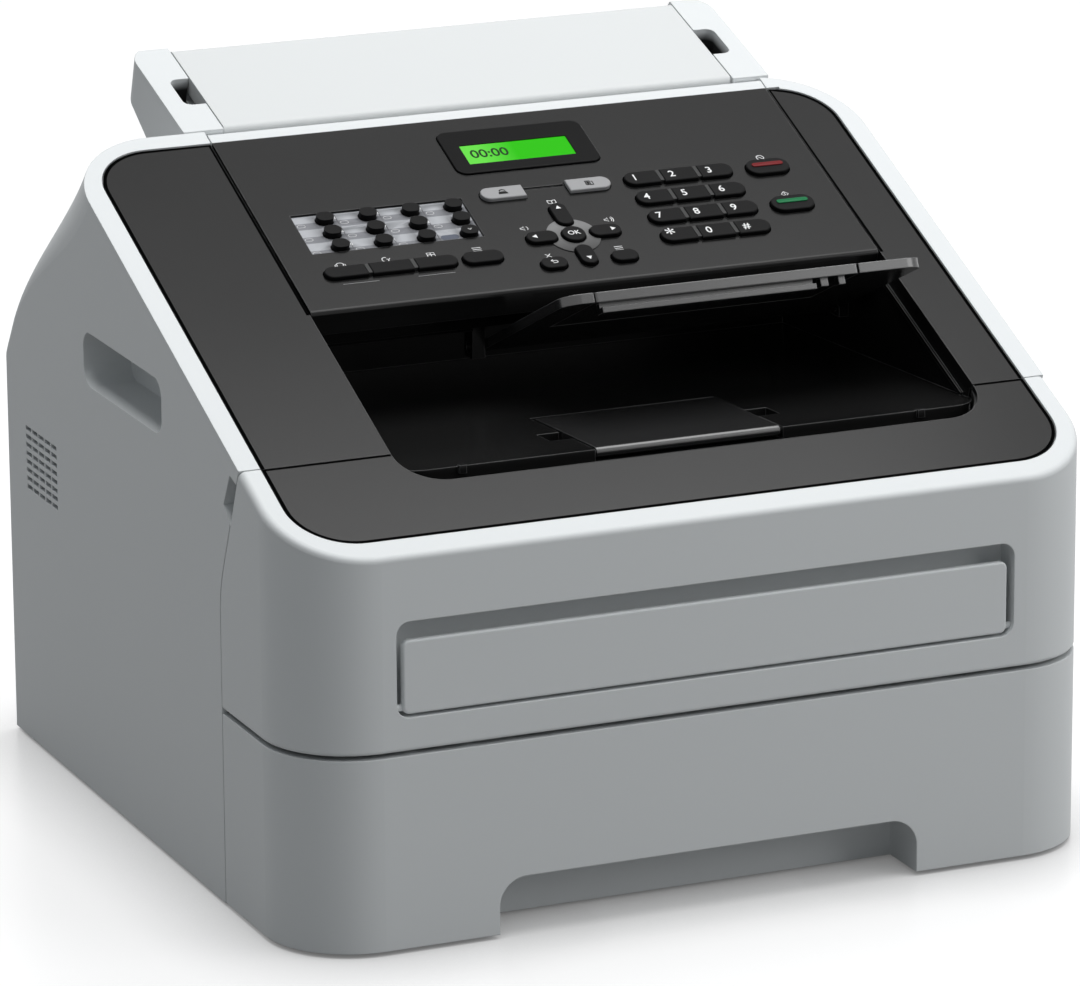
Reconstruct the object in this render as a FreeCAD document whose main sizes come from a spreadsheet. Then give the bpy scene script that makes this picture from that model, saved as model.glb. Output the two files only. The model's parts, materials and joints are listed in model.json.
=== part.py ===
import FreeCAD, Part
import math
import os
import Sketcher

# Compact desktop laser fax machine: x to the right seen from the front, y to the rear, z up

VEC = FreeCAD.Vector
doc = FreeCAD.newDocument("fax_machine")
sheet = doc.addObject("Spreadsheet::Sheet", "dims")

# Driving dimensions in millimetres and degrees

DIMENSIONS = (
    ("width", 368.0),
    ("depth", 360.0),
    ("slope", 23.2),
    ("lip_height", 169.1),
    ("wall", 2.5),
    ("foot_height", 1.5),
    ("seam", 0.6),
    ("rim", 9.5),
    ("front_corner", 38.0),
    ("edge_round", 3.0),
    ("front_depth", 84.0),
    ("tray_top", 84.6),
    ("tray_seam", 2.0),
    ("seam_bend", 50.0),
    ("trim_start", 11.0),
    ("trim_depth", 3.2),
    ("trim_sink", 0.4),
    ("trim_split", 65.0),
    ("cavity_left", 117.0),
    ("cavity_right", 150.2),
    ("cavity_front", 44.7),
    ("cavity_round", 20.0),
    ("panel_gap", 0.8),
    ("panel_front", 162.3),
    ("panel_strip", 288.6),
    ("panel_end", 297.2),
    ("panel_thick", 12.0),
    ("rear_bulge", 8.5),
    ("rear_knee", 184.2),
    ("corner_top", 40.0),
    ("corner_low", 5.0),
    ("floor_start", 52.0),
    ("floor_height", 188.3),
    ("floor_angle", 3.0),
    ("floor_thick", 8.0),
    ("pivot_y", 5.0),
    ("pivot_z", 7.0),
    ("cover_pin", 1.4),
    ("cover_boss", 2.2),
    ("hinge_pin", 2.0),
    ("pin_gap", 0.05),
    ("feed_half", 140.0),
    ("feed_low", 100.6),
    ("feed_high", 141.5),
    ("feed_depth", 12.0),
    ("pull_half", 95.5),
    ("pull_height", 26.0),
    ("cassette_half", 120.5),
    ("cassette_gap", 21.0),
    ("cassette_height", 58.0),
    ("deck_height", 88.0),
    ("frame_half", 150.0),
    ("frame_wall", 3.0),
    ("frame_top", 166.0),
    ("doc_angle", 18.2),
    ("doc_length", 72.3),
    ("doc_left", 126.0),
    ("doc_beyond", 4.8),
    ("flap_left", 107.4),
    ("flap_inset", 12.7),
    ("flap_gap", 0.6),
    ("rest_angle", 24.3),
    ("rest_length", 97.0),
    ("rest_left", 23.4),
    ("rest_gap", 5.2),
    ("rest_pivot_y", 185.0),
    ("rest_pivot_z", 201.0),
    ("door_left", 99.4),
    ("door_inset", 16.8),
    ("key_gap", 0.35),
    ("key_rise", 1.8),
    ("key_travel", 1.0),
)


class Size:
    """A dimension: its present value and the sheet expression behind it."""

    def __init__(self, text, value):
        self.text = text
        self.value = value

    def _join(self, sign, other, value):
        return Size("(%s %s %s)" % (self.text, sign, other.text), value)

    def __add__(self, other):
        other = size(other)
        return self._join("+", other, self.value + other.value)

    def __radd__(self, other):
        return size(other) + self

    def __sub__(self, other):
        other = size(other)
        return self._join("-", other, self.value - other.value)

    def __rsub__(self, other):
        return size(other) - self

    def __mul__(self, other):
        other = size(other)
        return self._join("*", other, self.value * other.value)

    def __rmul__(self, other):
        return size(other) * self

    def __truediv__(self, other):
        other = size(other)
        return self._join("/", other, self.value / other.value)

    def __neg__(self):
        return Size("(0 - %s)" % self.text, -self.value)


def size(number):
    """A plain number as a Size."""
    if isinstance(number, Size):
        return number
    return Size("(%.6f)" % number, float(number))


def turned(name, angle):
    """Sine, cosine or tangent of a sheet angle."""
    value = getattr(math, name)(math.radians(angle.value))
    return Size("%s(%s * 1 deg)" % (name, angle.text), value)


D = {}
for row, (alias, number) in enumerate(DIMENSIONS, 1):
    sheet.set("A%d" % row, alias)
    sheet.set("B%d" % row, str(number))
    sheet.setAlias("B%d" % row, alias)
    D[alias] = Size("dims." + alias, number)
doc.recompute()

HALF = D["width"] / 2
FRONT = -(D["depth"] / 2)
BACK = D["depth"] / 2 - D["rear_bulge"]
WALL = D["wall"]
SEAM = D["seam"]
SIN = turned("sin", D["slope"])
COS = turned("cos", D["slope"])
TAN = turned("tan", D["slope"])
LEFT = -D["cavity_left"]
RIGHT = D["cavity_right"]
PANEL_LEFT = LEFT + D["panel_gap"]
PANEL_RIGHT = RIGHT - D["panel_gap"]
DOC_RIGHT = RIGHT + D["doc_beyond"]
FLAP_RIGHT = RIGHT - D["flap_inset"]
REST_RIGHT = RIGHT - D["rest_gap"]
DOOR_RIGHT = RIGHT - D["door_inset"]
CASSETTE_REAR = BACK - D["cassette_gap"]
SEAM_Y = FRONT + D["front_depth"]
COVER_BASE = D["tray_top"] + D["tray_seam"]
DECK = D["trim_depth"] + WALL
FLOOR_Y = FRONT + D["floor_start"]
FLOOR_TAN = turned("tan", D["floor_angle"])
HINGE_Y = FRONT + D["pivot_y"]
HINGE_Z = COVER_BASE + D["pivot_z"]
BORE = D["hinge_pin"] + D["pin_gap"]


def on_panel(v, n=0):
    """World y and z of a point v up the panel slope and n above it."""
    v = size(v)
    n = size(n)
    return FRONT + v * COS - n * SIN, D["lip_height"] + v * SIN + n * COS


def panel_z(y, n=0):
    """World height of the panel plane, raised by n, over a given y."""
    return D["lip_height"] + (size(y) - FRONT) * TAN + size(n) / COS


# Outlines: each is a list of bound sketch loops

PLANES = {"x": "YZ_Plane", "y": "XZ_Plane", "z": "XY_Plane"}


def hold(rules, kind, *args):
    """Note one constraint; the last argument is its Size when it has a value."""
    if isinstance(args[-1], Size):
        rules.append((Sketcher.Constraint(kind, *args[:-1], args[-1].value), args[-1].text))
    else:
        rules.append((Sketcher.Constraint(kind, *args), None))


def polygon(*points):
    """A closed straight-edged loop through the points."""
    points = [(size(u), size(v)) for u, v in points]

    def draw(sketch, rules):
        first = sketch.GeometryCount
        count = len(points)
        for i, (u, v) in enumerate(points):
            u2, v2 = points[(i + 1) % count]
            line = Part.LineSegment(VEC(u.value, v.value, 0), VEC(u2.value, v2.value, 0))
            sketch.addGeometry(line)
        for i in range(count):
            hold(rules, "Coincident", first + i, 2, first + (i + 1) % count, 1)
        for i, (u, v) in enumerate(points):
            hold(rules, "DistanceX", -1, 1, first + i, 1, u)
            hold(rules, "DistanceY", -1, 1, first + i, 1, v)

    return draw


def rect(u0, u1, v0, v1):
    """A rectangle between two u and two v values."""
    return polygon((u0, v0), (u1, v0), (u1, v1), (u0, v1))


def rounded(u0, u1, v0, v1, radius):
    """A rectangle with four equal rounded corners."""
    u0, u1, v0, v1, radius = size(u0), size(u1), size(v0), size(v1), size(radius)

    def draw(sketch, rules):
        a, b, c, d, r = u0.value, u1.value, v0.value, v1.value, radius.value
        first = sketch.GeometryCount
        corners = ((b - r, c + r, -90), (b - r, d - r, 0), (a + r, d - r, 90), (a + r, c + r, 180))
        lines = (((a + r, c), (b - r, c)), ((b, c + r), (b, d - r)),
                 ((b - r, d), (a + r, d)), ((a, d - r), (a, c + r)))
        for (start, end), (cu, cv, turn) in zip(lines, corners):
            sketch.addGeometry(Part.LineSegment(VEC(*start, 0), VEC(*end, 0)))
            circle_ = Part.Circle(VEC(cu, cv, 0), VEC(0, 0, 1), r)
            begin = math.radians(turn)
            sketch.addGeometry(Part.ArcOfCircle(circle_, begin, begin + math.pi / 2))
        for i in range(4):
            line = first + 2 * i
            hold(rules, "Tangent", line, 2, line + 1, 1)
            hold(rules, "Tangent", line + 1, 2, first + (2 * i + 2) % 8, 1)
            hold(rules, "Vertical" if i % 2 else "Horizontal", line)
        for i in range(1, 4):
            hold(rules, "Equal", first + 1, first + 2 * i + 1)
        hold(rules, "Radius", first + 1, radius)
        hold(rules, "DistanceY", -1, 1, first, 1, v0)
        hold(rules, "DistanceX", -1, 1, first + 2, 1, u1)
        hold(rules, "DistanceY", -1, 1, first + 4, 1, v1)
        hold(rules, "DistanceX", -1, 1, first + 6, 1, u0)

    return draw


def one_ended(u0, u1, v0, v1, radius, left):
    """A rectangle with its left or right end rounded."""
    u0, u1, v0, v1, radius = size(u0), size(u1), size(v0), size(v1), size(radius)
    near_u, far_u = (u0, u1) if left else (u1, u0)
    sign = 1 if left else -1
    turns = (90, 180) if left else (0, -90)
    begin, finish = (1, 2) if left else (2, 1)

    def draw(sketch, rules):
        a, b, c, d, r = near_u.value, far_u.value, v0.value, v1.value, radius.value
        e = a + sign * r
        first = sketch.GeometryCount
        lines = (((e, c), (b, c)), ((b, c), (b, d)), ((b, d), (e, d)), ((a, d - r), (a, c + r)))
        for start, end in lines:
            sketch.addGeometry(Part.LineSegment(VEC(*start, 0), VEC(*end, 0)))
        for cv, turn in zip((d - r, c + r), turns):
            circle_ = Part.Circle(VEC(e, cv, 0), VEC(0, 0, 1), r)
            angle = math.radians(turn)
            sketch.addGeometry(Part.ArcOfCircle(circle_, angle, angle + math.pi / 2))
        low, flat, high, end, upper, lower = range(first, first + 6)
        hold(rules, "Coincident", low, 2, flat, 1)
        hold(rules, "Coincident", flat, 2, high, 1)
        hold(rules, "Tangent", high, 2, upper, begin)
        hold(rules, "Tangent", upper, finish, end, 1)
        hold(rules, "Tangent", end, 2, lower, begin)
        hold(rules, "Tangent", lower, finish, low, 1)
        for line, kind in ((low, "Horizontal"), (high, "Horizontal"), (flat, "Vertical"), (end, "Vertical")):
            hold(rules, kind, line)
        hold(rules, "Equal", upper, lower)
        hold(rules, "Radius", upper, radius)
        hold(rules, "DistanceY", -1, 1, low, 1, v0)
        hold(rules, "DistanceX", -1, 1, flat, 1, far_u)
        hold(rules, "DistanceY", -1, 1, high, 1, v1)
        hold(rules, "DistanceX", -1, 1, end, 1, near_u)

    return draw


def circle(u, v, radius):
    """A full circle."""
    u, v, radius = size(u), size(v), size(radius)

    def draw(sketch, rules):
        index = sketch.addGeometry(Part.Circle(VEC(u.value, v.value, 0), VEC(0, 0, 1), radius.value))
        hold(rules, "Radius", index, radius)
        hold(rules, "DistanceX", -1, 1, index, 3, u)
        hold(rules, "DistanceY", -1, 1, index, 3, v)

    return draw


# Bodies: pads, pockets and rounded edges

CUTS = []


def new_body(name):
    """An empty body that may hold several solids."""
    body = doc.addObject("PartDesign::Body", name)
    body.AllowCompound = True
    return body


def new_sketch(body, axis, at, loops):
    """A sketch of loops on the body's plane across an axis, moved to a value on it."""
    sketch = body.newObject("Sketcher::SketchObject", body.Name + "_sketch")
    plane = [item for item in body.Origin.OriginFeatures if item.Role == PLANES[axis]][0]
    sketch.AttachmentSupport = (plane, "")
    sketch.MapMode = "FlatFace"
    at = -size(at) if axis == "y" else size(at)
    sketch.setExpression("AttachmentOffset.Base.z", at.text)
    rules = []
    for draw in loops:
        draw(sketch, rules)
    sketch.addConstraint([rule for rule, text in rules])
    for index, (rule, text) in enumerate(rules):
        if text:
            sketch.setExpression("Constraints[%d]" % index, text)
    sketch.Visibility = False
    return sketch


def pad(body, axis, low, high, *loops):
    """Raise loops into a solid from low to high along an axis."""
    low, high = size(low), size(high)
    feature_sketch = new_sketch(body, axis, high if axis == "y" else low, loops)
    feature = body.newObject("PartDesign::Pad", body.Name + "_pad")
    feature.Profile = feature_sketch
    feature.setExpression("Length", (high - low).text)
    body.Tip = feature
    return body


def pocket(body, axis, low, high, *loops):
    """Cut loops out of a body from low to high along an axis."""
    low, high = size(low), size(high)
    feature_sketch = new_sketch(body, axis, low if axis == "y" else high, loops)
    feature = body.newObject("PartDesign::Pocket", body.Name + "_pocket")
    feature.Profile = feature_sketch
    feature.setExpression("Length", (high - low).text)
    body.Tip = feature
    CUTS.append(feature)
    return body


def block(name, axis, low, high, *loops):
    """A body with one pad."""
    return pad(new_body(name), axis, low, high, *loops)


def round_edges(body, radius, wanted):
    """Round the edges of a body that a test picks out by their bounds."""
    doc.recompute()
    tip = body.Tip
    names = ["Edge%d" % i for i, edge in enumerate(tip.Shape.Edges, 1) if wanted(edge.BoundBox)]
    if not names:
        raise ValueError("no edge to round on " + body.Name)
    feature = body.newObject("PartDesign::Fillet", body.Name + "_round")
    feature.Base = (tip, names)
    feature.setExpression("Radius", size(radius).text)
    body.Tip = feature
    return body


def near(value, target, slack=0.01):
    """Whether two lengths agree."""
    target = target.value if isinstance(target, Size) else target
    return abs(value - target) < slack


def upright_at(x, y):
    """A test for an edge that stands along z at x and y."""
    return lambda b: b.ZLength > 1 and b.XLength < 0.01 and b.YLength < 0.01 \
        and near(abs(b.XMin), x) and near(b.YMin, y)


# Frames: where a tilted piece stands

def stand(obj, y, z, angle):
    """Place an object at y and z, turned about x."""
    obj.Placement = FreeCAD.Placement(VEC(0, y.value, z.value),
                                      FreeCAD.Rotation(VEC(1, 0, 0), angle.value))
    obj.setExpression("Placement.Base.y", y.text)
    obj.setExpression("Placement.Base.z", z.text)
    obj.setExpression("Placement.Rotation.Angle", angle.text)
    return obj


def on_slope(obj):
    """Stand an object in the frame of the sloping top."""
    return stand(obj, FRONT, D["lip_height"], D["slope"])


def on_floor(obj):
    """Stand an object in the frame of the output floor."""
    return stand(obj, FLOOR_Y, D["floor_height"], -D["floor_angle"])


# Joined shapes

def fuse(name, *parts):
    """Several objects as one solid."""
    joined = doc.addObject("Part::MultiFuse", name)
    joined.Shapes = list(parts)
    joined.Refine = True
    return joined


def cut(name, base, *tools):
    """An object with others cut from it."""
    tool = tools[0] if len(tools) == 1 else fuse(name + "_tools", *tools)
    left = doc.addObject("Part::Cut", name)
    left.Base = base
    left.Tool = tool
    left.Refine = True
    return left


def common(name, *parts):
    """The space shared by several objects."""
    shared = doc.addObject("Part::MultiCommon", name)
    shared.Shapes = list(parts)
    return shared


def taper_round(name, base, wanted, start, end):
    """Round one edge with a radius that runs from its lower to its upper end."""
    doc.recompute()
    picked = []
    for i, edge in enumerate(base.Shape.Edges, 1):
        if wanted(edge.BoundBox):
            lower_first = edge.Vertexes[0].Point.z < edge.Vertexes[-1].Point.z
            radii = (start.value, end.value) if lower_first else (end.value, start.value)
            picked.append((i, *radii))
    if not picked:
        raise ValueError("no edge to taper on " + name)
    feature = doc.addObject("Part::Fillet", name)
    feature.Base = base
    feature.Edges = picked
    return feature


NODES = []


def node(label, feature):
    """Name a finished piece."""
    feature.Label = label
    NODES.append((label, feature))
    return feature


# Front cover: shell, recess for the manual feed, hinge ears

def seam_bend(y, knee_z, radius):
    """Points along the bend of the side seam, from below upwards."""
    low = knee_z - radius * turned("tan", D["slope"] / 2)
    points = []
    for part in range(5):
        angle = D["slope"] * (part / 4)
        points.append((y - radius + radius * turned("cos", angle), low + radius * turned("sin", angle)))
    return points


def front_cover():
    """The light front cover, hinged along its lower edge."""
    top_y, top_z = on_panel(D["trim_split"] - SEAM / 2)
    knee_z = top_z - (SEAM_Y - top_y) / TAN
    shell = block("front_shell", "x", -HALF, HALF, polygon(
        (FRONT, COVER_BASE), (SEAM_Y, COVER_BASE), *seam_bend(SEAM_Y, knee_z, D["seam_bend"]),
        (top_y, top_z), (FRONT, D["lip_height"])))
    round_edges(shell, D["front_corner"], upright_at(HALF, FRONT))
    slack = 0.05

    def on_top(b):
        low = panel_z(b.YMin).value
        high = panel_z(b.YMax).value
        return abs(b.ZMin - low) < slack and abs(b.ZMax - high) < slack and b.YMin < top_y.value - 1

    round_edges(shell, D["edge_round"], on_top)
    round_edges(shell, D["edge_round"] / 2, lambda b: near(b.ZMax, COVER_BASE) and b.YMin < SEAM_Y.value - 1)
    inner = block("front_void", "x", -(HALF - WALL), HALF - WALL, polygon(
        (FRONT + WALL, COVER_BASE - 5), (SEAM_Y + 30, COVER_BASE - 5),
        (SEAM_Y + 30, panel_z(SEAM_Y + 30, -DECK)), (FRONT + WALL, panel_z(FRONT + WALL, -DECK))))
    round_edges(inner, D["front_corner"] - WALL, upright_at(HALF - WALL, FRONT + WALL))
    backing = block("feed_backing", "y", FRONT + 1, FRONT + D["feed_depth"] + WALL, rounded(
        -(D["feed_half"] + 6), D["feed_half"] + 6, D["feed_low"] - 3, D["feed_high"] + 3, 8))
    ears = new_body("cover_ears")
    for centre in (-120, 120):
        for side in (-1, 1):
            low = size(centre + side * 12.7 - 2)
            pad(ears, "x", low, low + 4,
                rect(FRONT + 1, HINGE_Y + 4, COVER_BASE + 0.2, HINGE_Z + 3.4),
                circle(HINGE_Y, HINGE_Z, D["cover_pin"] + D["pin_gap"]))
    seat = on_slope(block("trim_seat", "z", -D["trim_depth"], 5, rounded(
        -(HALF - D["rim"]), HALF - D["rim"], D["trim_start"], D["trim_split"] + 80,
        D["front_corner"] - D["trim_start"])))
    mouth = on_slope(block("front_mouth", "z", -60, 5, rounded(
        LEFT, RIGHT, D["cavity_front"] + 1.5, D["cavity_front"] + 120, D["cavity_round"])))
    recess = block("feed_recess", "y", FRONT - 5, FRONT + D["feed_depth"], rounded(
        -D["feed_half"], D["feed_half"], D["feed_low"], D["feed_high"], 6))
    slot = block("feed_slot", "y", FRONT + 2, FRONT + 30, rect(-108, 108, 108, 116))
    pins = block("feed_bores", "x", -(D["feed_half"] + 3), D["feed_half"] + 3,
                 circle(FRONT + 3.5, D["feed_low"] + 3.9, 1.5 + D["pin_gap"]))
    hollow = cut("front_hollow", shell, inner)
    full = fuse("front_full", hollow, backing, ears)
    return node("front_cover", cut("front_cover", full, seat, mouth, recess, slot, pins))


def front_cover_trim():
    """The dark trim set into the top of the front cover."""
    trim = block("front_cover_trim", "z", -D["trim_depth"], -D["trim_sink"], rounded(
        -(HALF - D["rim"] - SEAM), HALF - D["rim"] - SEAM, D["trim_start"] + SEAM,
        D["trim_split"] + 80, D["front_corner"] - D["trim_start"] - SEAM))
    pocket(trim, "z", -10, 1, rect(-HALF, HALF, D["trim_split"] - SEAM / 2, D["trim_split"] + 120))
    pocket(trim, "z", -10, 1, rounded(
        LEFT, RIGHT, D["cavity_front"], D["cavity_front"] + 120, D["cavity_round"]))
    return node("front_cover_trim", on_slope(trim))


def manual_feed_cover():
    """The flap over the manual feed slot, hinged along its lower edge."""
    half = D["feed_half"] - 3
    low = D["feed_low"] + 1.4
    flap = block("manual_feed_cover", "y", FRONT + 0.6, FRONT + 4.2,
                 rounded(-half, half, low, D["feed_high"] - 8.2, 3))
    round_edges(flap, 1, lambda b: b.XLength > 100 and near(b.ZMax, low))
    for start in (-(half + 5), half - 2):
        pad(flap, "x", start, start + 7, circle(FRONT + 3.5, D["feed_low"] + 3.9, 1.5))
    return node("manual_feed_cover", flap)


# Paper tray and the plate that lifts the paper

def paper_tray():
    """The paper tray: rounded front, finger recess and open cassette."""
    top = D["tray_top"]
    base = D["foot_height"] + 0.5
    thick = 3
    shell = block("tray_front", "z", base, top, rect(-HALF, HALF, FRONT, SEAM_Y))
    round_edges(shell, D["front_corner"], upright_at(HALF, FRONT))
    inner = block("tray_void", "z", base + WALL, top - WALL, rounded(
        -(HALF - thick), HALF - thick, FRONT + thick, SEAM_Y + 100, D["front_corner"] - thick))
    mouth = block("tray_mouth", "z", top - WALL - 1, top + 10, rounded(
        -(HALF - thick), HALF - thick, FRONT + 17, SEAM_Y + 100, D["front_corner"] - thick))
    grip = block("tray_grip", "y", FRONT + 1, FRONT + 29, rect(
        -(D["pull_half"] + thick), D["pull_half"] + thick, base, D["pull_height"] + thick))
    pull = block("tray_pull", "y", FRONT - 5, FRONT + 25, rounded(
        -D["pull_half"], D["pull_half"], -40, D["pull_height"], 12))
    half = D["cassette_half"]
    box = block("cassette", "z", base + 1, D["cassette_height"],
                rect(-half, half, FRONT + 28, CASSETTE_REAR))
    stack = block("cassette_void", "z", base + 1 + WALL, top + 20,
                  rect(-(half - WALL), half - WALL, FRONT + 28 + WALL, CASSETTE_REAR - WALL))
    bores = block("plate_bores", "x", -(half - 0.8), half - 0.8, circle(-15, 9, 1.5 + D["pin_gap"]))
    hollow = cut("tray_hollow", shell, inner, mouth)
    full = fuse("tray_full", hollow, grip, box)
    return node("paper_tray", cut("paper_tray", full, stack, pull, bores))


def paper_lift_plate():
    """The sprung plate under the paper, hinged to the tray walls at its rear."""
    half = D["cassette_half"] - WALL
    plate = block("paper_lift_plate", "z", 7, 8.5, rect(-(half - 3), half - 3, FRONT + 36, -13))
    pad(plate, "x", -(half + 1.5), half + 1.5, circle(-15, 9, 1.5))
    pocket(plate, "z", 6, 12, rect(-45, 45, FRONT + 80, FRONT + 120))
    return node("paper_lift_plate", plate)


# Frame, feet and what it carries

def base_frame():
    """The inner frame: side plates, tray rails, deck, rear plate and cover hinge tongues."""
    half = D["frame_half"]
    wall = D["frame_wall"]
    front = FRONT + 40
    rear = BACK - 10
    deck = D["deck_height"]
    frame = new_body("frame_plates")
    shafts = ((105, 138, 4), (105, 113.7, 4), (-120, 74.5, 3))
    for low in (-half, half - wall):
        pad(frame, "x", low, low + wall, polygon(
            (front, 10), (SEAM_Y + 2, 10), (SEAM_Y + 2, 4), (rear, 4), (rear, D["frame_top"]),
            (front, D["frame_top"])),
            *[circle(y, z, r + D["pin_gap"]) for y, z, r in shafts])
    pad(frame, "z", 4, 8, rect(-half, -(D["cassette_half"] + 0.7), SEAM_Y + 2, rear),
        rect(D["cassette_half"] + 0.7, half, SEAM_Y + 2, rear))
    pad(frame, "z", deck, deck + wall, rect(-half, half, FRONT + 30, rear))
    pad(frame, "y", CASSETTE_REAR + 3, CASSETTE_REAR + 3 + wall, rect(-half, half, 4, deck))
    boss = D["cover_boss"]
    for centre in (-120, 120):
        pad(frame, "x", centre - 10, centre + 10, polygon(
            (HINGE_Y, HINGE_Z - boss), (FRONT + 30, HINGE_Z - boss), (FRONT + 30, deck),
            (FRONT + 34, deck), (FRONT + 34, HINGE_Z + boss), (HINGE_Y, HINGE_Z + boss)))
        pad(frame, "x", centre - 10, centre + 10, circle(HINGE_Y, HINGE_Z, boss))
        pad(frame, "x", centre - 15, centre + 15, circle(HINGE_Y, HINGE_Z, D["cover_pin"]))
    return node("base_frame", frame)


def rubber_feet():
    """Four round feet under the rails."""
    feet = block("rubber_feet", "z", 0, 4, *[
        circle(x, y, 8) for x in (-136, 136) for y in (SEAM_Y + 14, BACK - 29.5)])
    return node("rubber_feet", feet)


def drum_unit():
    """The drum carrier on the deck."""
    deck = D["deck_height"] + D["frame_wall"]
    unit = block("drum_unit", "x", -125, 125, polygon(
        (-74, deck), (-5, deck), (-5, deck + 30), (-30, deck + 42), (-74, deck + 42)))
    pad(unit, "x", -129, 129, circle(-48, deck + 18, 6))
    return node("drum_unit", unit)


def toner_cartridge():
    """The toner cartridge in front of the drum."""
    deck = D["deck_height"] + D["frame_wall"]
    toner = block("toner_cartridge", "x", -120, 120, polygon(
        (-138, deck + 8), (-130, deck), (-74, deck), (-74, deck + 46), (-90, deck + 58), (-130, deck + 58),
        (-138, deck + 50)))
    pocket(toner, "x", -40, 40, rect(-150, -126, deck + 16, deck + 42))
    pad(toner, "x", -40, 40, rect(-138, -133, deck + 24, deck + 34))
    return node("toner_cartridge", toner)


def laser_unit():
    """The flat laser scanner box hung between the side plates."""
    half = D["frame_half"] - D["frame_wall"]
    unit = block("laser_unit", "z", 140, 157, rect(-105, 105, -70, 55))
    pad(unit, "z", 140, 143, rect(-half, half, -50, 35))
    pocket(unit, "y", -71, -60, rect(-100, 100, 144, 153))
    return node("laser_unit", unit)


def roller(label, y, z, radius, half, shaft, reach):
    """A roller with its shaft through the side plates."""
    piece = block(label, "x", -reach, reach, circle(y, z, shaft))
    pad(piece, "x", -half, half, circle(y, z, radius))
    return node(label, piece)


def drive_motor():
    """The main motor on the left side plate."""
    half = D["frame_half"]
    motor = block("drive_motor", "x", -(half + 20), -(half + 2), circle(40, 120, 21))
    pad(motor, "x", -(half + 2), -half, rounded(12, 68, 96, 144, 8))
    pad(motor, "x", -(half + 23), -(half + 20), circle(40, 120, 5))
    return node("drive_motor", motor)


def circuit_boards():
    """Main board with its sockets on the right, power board with the mains inlet on the left."""
    half = D["frame_half"]
    boards = block("circuit_boards", "x", half, half + 1.6, rect(-60, BACK - 12, 20, 150))
    pad(boards, "x", half + 1.6, half + 10, rect(20, 60, 60, 100), rect(-40, -10, 40, 70))
    for low in (100, 122):
        pad(boards, "x", half + 1.6, half + 15.6, rect(BACK - 30, BACK - 0.5, low, low + 14))
    pad(boards, "x", half + 1.6, half + 13.6, rect(BACK - 30, BACK - 0.5, 60, 71))
    pocket(boards, "y", BACK - 14, BACK + 1, rect(half + 3.4, half + 13.4, 103.2, 110.4),
           rect(half + 3.4, half + 13.4, 125.2, 132.4), rect(half + 3.4, half + 11.9, 61.8, 69.2))
    pad(boards, "x", -(half + 1.6), -half, rect(70, BACK - 12, 12, 92))
    pad(boards, "x", -(half + 29), -(half + 1.6), rect(BACK - 34, BACK - 0.5, 24, 46))
    pocket(boards, "y", BACK - 16, BACK + 1, rounded(-(half + 26.5), -(half + 4.1), 27, 43, 2.5))
    return node("circuit_boards", boards)


# Side covers, rear cover and rear door

END_Y, END_Z = on_panel(D["panel_end"])
BELOW_END = on_panel(D["panel_end"] - 2, -DECK)


def mirrored(side, low, high):
    """Low and high along x for the left (-1) or right (1) side."""
    return (-size(high), -size(low)) if side < 0 else (size(low), size(high))


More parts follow.
